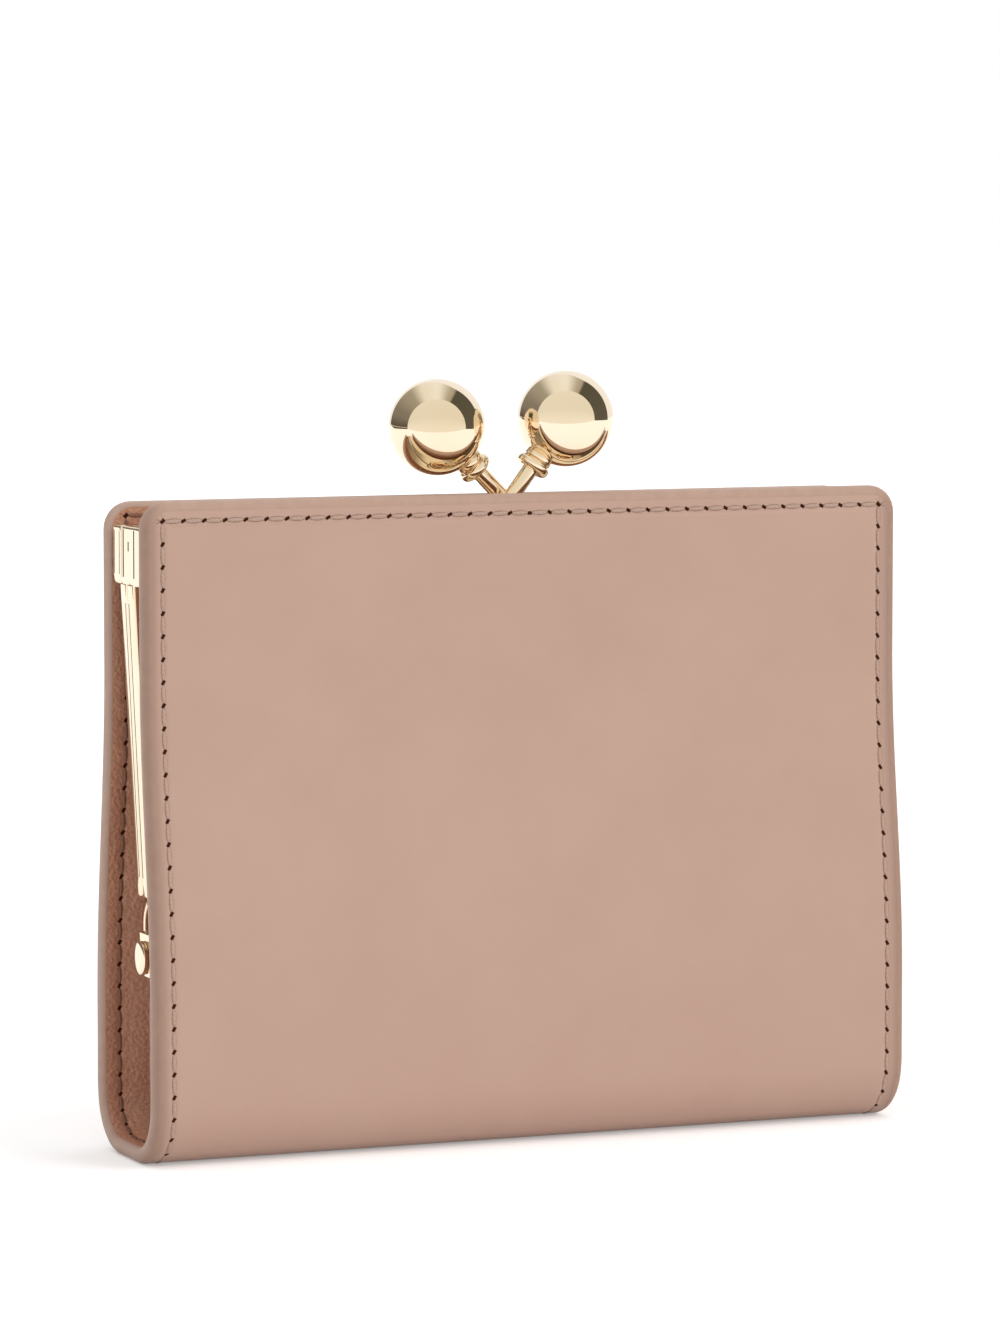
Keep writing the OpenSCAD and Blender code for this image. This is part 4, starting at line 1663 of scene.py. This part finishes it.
@dataclass
class KissLock:
    """One half's stem, collar and ball."""

    half: Half
    root_x: float
    metal: MetalFinish
    stem_radius: float = 1.2 * MM
    bead_radius: float = 2.6 * MM
    bead_length: float = 1.7 * MM
    ring_radius: float = 2.15 * MM
    ring_length: float = 0.6 * MM
    ball_segments: int = 128
    spin_segments: int = 48
    stem_sink: float = 1.5
    bulge_steps: int = 12
    waist_gap: float = 0.02 * MM
    ring_edge_share: float = 0.2
    ring_lap_share: float = 0.5

    def __post_init__(self) -> None:
        """Finds the ball and the stem's root from the frame."""
        low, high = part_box(self.half.named("clasp_ball"))
        self.ball = (low + high) / 2
        self.ball_radius = (high.y - low.y) / 2
        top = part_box(self.half.named("frame"))[1].z
        self.root = Vector((self.root_x, self.ball.y, top))

    def on_stem(self) -> Matrix:
        """Matrix that stands a shape, drawn upwards from zero, on the stem's root."""
        lean = (self.ball - self.root).to_track_quat("Z", "Y").to_matrix().to_4x4()
        return Matrix.Translation(self.root) @ lean

    def spun(self, outline: list[tuple[float, float]], name: str, node: str, crease: float = 40.0) -> None:
        """Spins an outline of radius and height round the stem's axis and makes it a piece.

        Args:
            outline: Radius and height of each point.
            name: The piece's name without its half.
            node: The node that it replaces, without its half.
            crease: Angle in degrees above which an edge stays sharp.
        """
        mesh = lathe([(r, 0.0, z) for r, z in outline], (0.0, 0.0, 1.0), self.spin_segments)
        bmesh.ops.transform(mesh, matrix=self.on_stem(), verts=mesh.verts[:])
        self.attach(to_object(mesh, self.half.named(name), self.metal, crease), node)

    def attach(self, piece: Object, node: str) -> None:
        """Lets a piece ride on its half in place of a node."""
        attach(piece, self.half.body)
        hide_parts(self.half.named(node))

    def build(self) -> None:
        """Makes stem, collar and ball."""
        seat = (self.ball - self.root).length - self.ball_radius
        radius = self.stem_radius
        sunk = self.stem_sink * radius
        stem = [(0.0, -sunk), (radius, -sunk), (radius, seat + sunk), (0.0, seat + sunk)]
        self.spun(stem, "stem_metal", "clasp_stem")
        bead_top = seat - self.ring_length
        middle = bead_top - self.bead_length / 2
        waist = radius + self.waist_gap
        bulge = [
            (
                self.bead_radius - self.bead_length / 2 * (1 - math.cos(a)),
                middle + self.bead_length / 2 * math.sin(a),
            )
            for a in (math.pi * (i / self.bulge_steps - 0.5) for i in range(self.bulge_steps + 1))
        ]
        ring_low, ring_high = bead_top, seat + self.ring_lap_share * self.ring_length
        edge = self.ring_edge_share * self.ring_length
        collar = [
            (waist, bulge[0][1]), *bulge, (self.ring_radius - edge, ring_low + edge / 2),
            (self.ring_radius, ring_low + 2 * edge), (self.ring_radius, ring_high - edge),
            (self.ring_radius - edge, ring_high), (waist, ring_high), (waist, bulge[0][1]),
        ]
        self.spun(collar, "collar_metal", "clasp_collar", crease=50.0)
        mesh = bmesh.new()
        bmesh.ops.create_uvsphere(
            mesh, u_segments=self.ball_segments, v_segments=self.ball_segments // 2, radius=self.ball_radius,
            matrix=self.on_stem() @ Matrix.Translation((0.0, 0.0, (self.ball - self.root).length)),
        )
        self.attach(to_object(mesh, self.half.named("ball_metal"), self.metal), "clasp_ball")


def thicken(sheet: BMesh, thickness: float) -> None:
    """Gives a sheet its thickness, half of it on each side.

    Args:
        sheet: The sheet, which is changed.
        thickness: Its thickness.
    """
    bmesh.ops.recalc_face_normals(sheet, faces=sheet.faces[:])
    sheet.normal_update()
    for vert in sheet.verts:
        vert.co += vert.normal * thickness / 2
    bmesh.ops.solidify(sheet, geom=sheet.faces[:], thickness=thickness)


def ease(share: float) -> float:
    """Turns a share into one that starts and ends gently, and stays from 0 to 1."""
    share = max(0.0, min(1.0, share))
    return share * share * (3 - 2 * share)


@dataclass
class Bag:
    """The leather bag inside the cover: walls, turned-in sides, gussets and card slots."""

    form: Form
    cover: Cover
    clasp: ClaspFrame
    depth: float = 4.0 * MM
    thickness: float = 1.0 * MM
    gusset_thickness: float = 0.7 * MM
    half_width: float = 47.5 * MM
    slot_half_width: float = 46.0 * MM
    slot_thickness: float = 0.6 * MM
    slot_gap: float = 0.1 * MM
    slot_corner: float = 2.5 * MM
    slot_low: float = 33.0 * MM
    slot_mouth: float = 76.0 * MM
    slot_step: float = 10.0 * MM
    soft_gap: float = 0.3 * MM
    tongue: float = 1.3 * MM
    rivet_inside: float = 53.85 * MM
    low_edge: float = 5.2 * MM
    spread_height: float = 8.0 * MM
    fold_depth: float = 8.0 * MM
    low_fold_share: float = 0.4
    flat_share: float = 0.6
    turn_share: float = 0.96
    wall_columns: int = 40
    wall_rows: int = 70
    gusset_cuts: int = 24
    gusset_blunt: float = 0.12
    gusset_keep: float = 0.3
    slot_edge: float = 0.25 * MM
    slot_crease: float = 0.06 * MM
    slot_crease_width: float = 0.15 * MM
    slot_hem: float = 1.3 * MM

    def __post_init__(self) -> None:
        """Works out the finishes and the heights."""
        self.wall_finish = replace(self.cover.lining_finish, name="bag leather", seam=None)
        self.slot_finish = LeatherFinish(
            "slot leather", Slot.CARDS, colour=linear(196, 162, 146), tone_colour=linear(186, 152, 138),
        )
        self.top = self.clasp.top - self.clasp.wall - self.slot_gap
        self.hinge = self.form.hinge_height
        self.grip_low = self.clasp.leg_end + self.clasp.leg_plug + self.soft_gap
        self.leg_middle = self.clasp.inside + self.clasp.leg_width / 2

    def bag_half_depth(self, height: float) -> float:
        """Half of the bag's depth at a height, in the middle of its leather.

        Args:
            height: The height.

        Returns:
            Distance from the middle plane.
        """
        form = self.form
        inwards = self.depth + self.thickness / 2
        if height > form.bottom_middle:
            return form.half_depth(height) - inwards
        radius = form.bottom_radius - inwards
        return math.sqrt(max(0.0, radius ** 2 - (form.bottom_middle - height) ** 2))

    def side(self, height: float) -> tuple[float, float]:
        """Finds where the wall's side ends: beside the leg, or inside the rivet and spread below it.

        Args:
            height: Height on the wallet.

        Returns:
            The place along the wallet and the distance from the middle plane.
        """
        beside = self.clasp.leg_inner_face(height) - self.soft_gap
        share = ease((height - self.hinge) / (self.grip_low - self.hinge))
        spread = ease((self.hinge - height) / self.spread_height)
        edge = self.leg_middle + (self.low_edge - self.leg_middle) * spread
        edge = min(edge, self.turn_share * self.bag_half_depth(height))
        return self.rivet_inside + (beside - self.rivet_inside) * share, edge

    def wall_place(self, across: float, path: float) -> Vector:
        """Place of a point of the bag's wall on the back half.

        Args:
            across: Place across the wall, from -1 to 1: the flat wall, the turn, and the tongue.
            path: Path length from the middle of the foot.

        Returns:
            The point in the wallet's frame.
        """
        reach = abs(across)
        inwards = self.depth + self.thickness / 2
        flat = min(1.0, reach / self.flat_share)
        wall = self.form.place(Vector((flat * self.half_width, path, inwards)))
        turn = (reach - self.flat_share) / (self.turn_share - self.flat_share)
        turn = max(0.0, min(1.0, turn))
        side_x, edge = self.side(wall.z)
        if turn:
            wall.x += (side_x - wall.x) * turn
            wall.y += (edge - wall.y) * (1 - math.cos(math.pi * turn)) / 2
        if reach > self.turn_share:
            gripped = self.grip_low < wall.z < self.clasp.bottom - self.soft_gap
            wall.x += self.tongue + self.soft_gap if gripped else self.soft_gap
        return Vector((math.copysign(wall.x, across), wall.y, wall.z))

    def make_wall(self, half: Half) -> None:
        """One half of the bag, from the rail down to the middle of its bottom.

        Args:
            half: The half that the piece belongs to.
        """
        mesh = bmesh.new()
        bmesh.ops.create_grid(mesh, x_segments=self.wall_columns, y_segments=self.wall_rows, size=1.0)
        flat = mesh.verts.layers.float_vector.new("flat")
        length = self.form.path(self.top)
        width = self.half_width / self.flat_share / MM
        for vert in mesh.verts:
            across, path = vert.co.x, (vert.co.y + 1) / 2 * length
            vert[flat] = Vector((across * width, path / MM, 0.0))
            vert.co = self.wall_place(across, path)
        bmesh.ops.remove_doubles(mesh, verts=mesh.verts[:], dist=SEAM_JOIN)
        bmesh.ops.scale(mesh, vec=(1.0, half.value, 1.0), verts=mesh.verts[:])
        thicken(mesh, self.thickness)
        piece = to_object(mesh, half.named("bag_leather"), self.wall_finish)
        self.cover.across_joint(piece, half)
        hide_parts(half.named("bag_wall"), "bag_bottom")

    def make_gusset(self, side: float, node: str) -> None:
        """A gusset below the hinge: the fold between the sides of the two walls.

        Args:
            side: -1 at the left end, 1 at the right.
            node: The node that the gusset replaces.
        """
        mesh = bmesh.new()
        bmesh.ops.create_grid(mesh, x_segments=self.gusset_cuts, y_segments=self.gusset_cuts, size=1.0)
        flat = mesh.verts.layers.float_vector.new("flat")
        low = self.depth + self.thickness
        high = self.hinge - self.soft_gap
        blunt = self.gusset_blunt
        for vert in mesh.verts:
            across, share = vert.co.x, (vert.co.y + 1) / 2
            height = low + (high - low) * share
            vert[flat] = Vector((across * self.fold_depth / MM, height / MM, 0.0))
            side_x, edge = self.side(height)
            fold = self.fold_depth * (self.low_fold_share + (1 - self.low_fold_share) * share)
            out = (math.hypot(across, blunt) - blunt) / (math.hypot(1.0, blunt) - blunt)
            vert.co = Vector((side * (side_x - fold * (1 - out)), edge * across, height))
        thicken(mesh, self.gusset_thickness)
        piece = to_object(mesh, node + "_leather", self.wall_finish)
        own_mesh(piece)
        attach(piece, "spine")
        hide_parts(node)

    def make_slot(self, half: Half, number: int, word: str) -> None:
        """One card slot: a sheet with a turned mouth and a creased line below it.

        Args:
            half: The half that the piece belongs to.
            number: How many slots lie under it.
            word: Its name, from upper to lower.
        """
        low = self.form.path(self.slot_low)
        high = self.form.path(self.slot_mouth - number * self.slot_step)
        layer = self.slot_thickness + self.slot_gap
        depth = self.depth + self.thickness + self.slot_gap + number * layer
        blank = Blank(
            self.slot_half_width, (high - low) / 2, self.slot_corner, depth, depth + self.slot_thickness,
        )
        blank.round_edge(Face.INNER, self.slot_edge, segments=3)
        crease, width = self.slot_crease, self.slot_crease_width
        blank.relief(Face.INNER, [
            (self.slot_hem, 0.0), (width, -crease), (width, crease), (2 * width, 0.0),
        ])
        middle = half.value * (low + high) / 2
        bmesh.ops.translate(blank.mesh, vec=(0.0, middle, 0.0), verts=blank.mesh.verts[:])
        blank.slice([path for path in self.form.bend_paths() if low < path < high])
        self.form.bend(blank.mesh)
        piece = to_object(blank.mesh, half.named(f"card_slot_{word}_leather"), self.slot_finish)
        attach(piece, half.body)
        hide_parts(half.named(f"card_slot_{word}"))

    def build(self) -> None:
        """Makes walls, slots and gussets, and dresses the paper cords in the rails."""
        paper = FibreFinish("paper cord", Slot.PAPER, colour=linear(204, 194, 174))
        for half in Half:
            self.make_wall(half)
            for number, word in enumerate(("upper", "middle", "lower")):
                self.make_slot(half, number, word)
            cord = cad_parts[half.named("frame_cord")]
            cord.data.materials.clear()
            cord.data.materials.append(paper.material())
        for side, node in ((-1.0, "left_gusset"), (1.0, "right_gusset")):
            self.make_gusset(side, node)


@dataclass
class Studio:
    """Camera, floor, lamp and the glowing surfaces, painted with light and shade, that the polished metal
    reflects.
    """

    position: Vector = field(default_factory=lambda: Vector((-0.3324, -0.7809, 0.1410)))
    direction: Vector = field(default_factory=lambda: Vector((0.3894, 0.9173, -0.0837)))
    lens: float = 155.1
    sensor: float = 36.0
    floor_size: float = 6.0
    floor_shade: float = 0.94
    floor_lift: float = 0.3
    ambient_low: float = 0.49
    ambient_high: float = 0.98
    sun_strength: float = 1.0
    sun_angle: float = 50.0
    sun_towards: Vector = field(default_factory=lambda: Vector((-0.9, 0.8, -0.7)))
    arch_radius: float = 2.0
    arch_front: float = 0.6
    arch_right_back: float = 1.2
    arch_left_back: float = 2.7
    arch_steps: int = 48
    arch_change: tuple = (0.35, 0.3)
    # Painted light and shade of the glowing arch and card, which the metal shows as reflections.
    arch_shades: tuple = (
        (0.0, (0.12, 0.11, 0.085)), (0.34, (0.10, 0.095, 0.07)), (0.37, (0.45, 0.42, 0.33)),
        (0.5, (0.95, 0.95, 0.9)), (0.6, (0.9, 0.88, 0.8)), (0.72, (0.38, 0.36, 0.29)),
        (0.88, (0.24, 0.22, 0.18)), (1.0, (0.10, 0.085, 0.07)),
    )
    card_shades: tuple = (
        (0.0, (0.98, 0.96, 0.88)), (0.12, (0.86, 0.84, 0.74)), (1.0, (0.95, 0.93, 0.85)),
    )

    def build(self) -> None:
        """Sets up everything that isn't part of the wallet."""
        view = bpy.context.scene.view_settings
        view.view_transform = "Standard"
        self.make_camera()
        self.make_floor()
        self.make_world()
        self.make_sun()
        self.make_arch()

    def make_camera(self) -> None:
        """The camera, at the photograph's angle."""
        data = bpy.data.cameras.new("camera")
        data.lens = self.lens
        data.sensor_fit = "VERTICAL"
        data.sensor_height = self.sensor
        camera = put_in_scene("camera", data)
        camera.location = self.position
        camera.rotation_euler = self.direction.to_track_quat("-Z", "Y").to_euler()
        bpy.context.scene.camera = camera

    def make_floor(self) -> None:
        """A pale floor that keeps the wallet's shadow and fades to white for the camera."""
        mesh = bmesh.new()
        bmesh.ops.create_grid(mesh, x_segments=1, y_segments=1, size=self.floor_size)
        material = empty_material("pale floor")
        graph = Graph(material.node_tree)
        shade = self.floor_shade
        matt = graph.add("BsdfDiffuse", Color=(shade, shade, shade, 1.0))
        lift = graph.times(graph.seen(), self.floor_lift)
        glow = graph.add("Emission", Color=(1.0, 1.0, 1.0, 1.0), Strength=lift)
        graph.add("OutputMaterial", Surface=graph.add("AddShader", i0=matt, i1=glow))
        add_object(mesh, "floor", material)

    def make_world(self) -> None:
        """A white surround: full white where it is seen, softer and darker low down where it lights."""
        world = bpy.data.worlds.new("studio")
        bpy.context.scene.world = world
        world.use_nodes = True
        world.node_tree.nodes.clear()
        graph = Graph(world.node_tree)
        up = graph.add("SeparateXYZ", Vector=graph.add("TexCoord").outputs[0]).outputs[2]
        lit = graph.ramp(up, 0.0, 1.0, self.ambient_low, self.ambient_high)
        strength = graph.larger(graph.seen(), lit)
        background = graph.add("Background", Color=(1.0, 1.0, 1.0, 1.0), Strength=strength)
        graph.add("OutputWorld", Surface=background)

    def make_sun(self) -> None:
        """One broad soft lamp from above and in front."""
        data = bpy.data.lights.new("key", "SUN")
        data.energy = self.sun_strength
        data.angle = math.radians(self.sun_angle)
        lamp = put_in_scene("key", data)
        lamp.rotation_euler = self.sun_towards.to_track_quat("-Z", "Y").to_euler()
        lamp.visible_glossy = False

    def make_arch(self) -> None:
        """An arch over the wallet and a card before it, glowing surfaces painted with light and shade, which
        only the polished metal reflects.
        """
        turn = Matrix.Rotation(math.atan2(-self.direction.x, self.direction.y), 4, "Z")
        radius = self.arch_radius
        arch = bmesh.new()
        line = [arch.verts.new((radius, y, 0.0)) for y in (-self.arch_front, self.arch_right_back)]
        edge = arch.edges.new(line)
        bmesh.ops.spin(
            arch, geom=[*line, edge], cent=(0.0, 0.0, 0.0), axis=(0.0, 1.0, 0.0), angle=-math.pi,
            steps=self.arch_steps,
        )
        share = arch.verts.layers.float.new("share")
        start, length = self.arch_change
        for vert in arch.verts:
            vert[share] = math.atan2(vert.co.z, vert.co.x) / math.pi
            if vert.co.y > 0:
                reach = ease((vert[share] - start) / length)
                vert.co.y += (self.arch_left_back - self.arch_right_back) * reach
        card = bmesh.new()
        bmesh.ops.create_grid(card, x_segments=1, y_segments=1, size=radius)
        bmesh.ops.rotate(card, matrix=Matrix.Rotation(math.pi / 2, 3, "X"), verts=card.verts[:])
        bmesh.ops.translate(card, vec=(0.0, -self.arch_front, radius), verts=card.verts[:])
        share = card.verts.layers.float.new("share")
        for vert in card.verts:
            vert[share] = vert.co.z / (2 * radius)
        shades = {"arch": (arch, self.arch_shades), "front_card": (card, self.card_shades)}
        for name, (mesh, stops) in shades.items():
            bmesh.ops.transform(mesh, matrix=turn, verts=mesh.verts[:])
            self.reflect(mesh, name, stops)

    def reflect(self, mesh: BMesh, name: str, stops: tuple) -> None:
        """Makes a glowing surface that only reflections see, with light and shade painted along its attribute
        "share".

        Args:
            mesh: The surface, which is freed.
            name: Its name.
            stops: Places from 0 to 1, each with a linear colour.
        """
        material = empty_material(name + " painted_glow")
        graph = Graph(material.node_tree)
        share = graph.add("Attribute", {"attribute_name": "share"}).outputs[2]
        ramp = graph.add("ValToRGB", Fac=share)
        ramp.color_ramp.interpolation = "EASE"
        elements = ramp.color_ramp.elements
        elements[0].position, elements[0].color = stops[0][0], (*stops[0][1], 1.0)
        elements[1].position, elements[1].color = stops[-1][0], (*stops[-1][1], 1.0)
        for place, colour in stops[1:-1]:
            elements.new(place).color = (*colour, 1.0)
        graph.add("OutputMaterial", Surface=graph.add("Emission", Color=ramp))
        surface = add_object(mesh, name, material)
        surface.visible_camera = False
        surface.visible_diffuse = False
        surface.visible_shadow = False


STEM_ROOTS = {Half.BACK: 3.0 * MM, Half.FRONT: -2.1 * MM}


def main() -> None:
    """Builds the wallet round the frame and sets up the studio."""
    logging.basicConfig(level=logging.INFO, format="%(name)s: %(message)s")
    for group in (grain_group, needle_group, border_group):
        group()
    cover_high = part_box("back_cover_leather")[1]
    rivet_low, rivet_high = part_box("right_hinge_rivet")
    form = Form(cover_high.x, cover_high.z, (rivet_low.z + rivet_high.z) / 2)
    cover = Cover(form)
    cover.build()
    frame_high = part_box("back_frame")[1]
    clasp = ClaspFrame(form, frame_high.x, frame_high.z, cover.inner_distance)
    clasp.build()
    for half, root_x in STEM_ROOTS.items():
        KissLock(half, root_x, clasp.metal).build()
    Bag(form, cover, clasp).build()
    Studio().build()


if __name__ == "__main__":
    main()
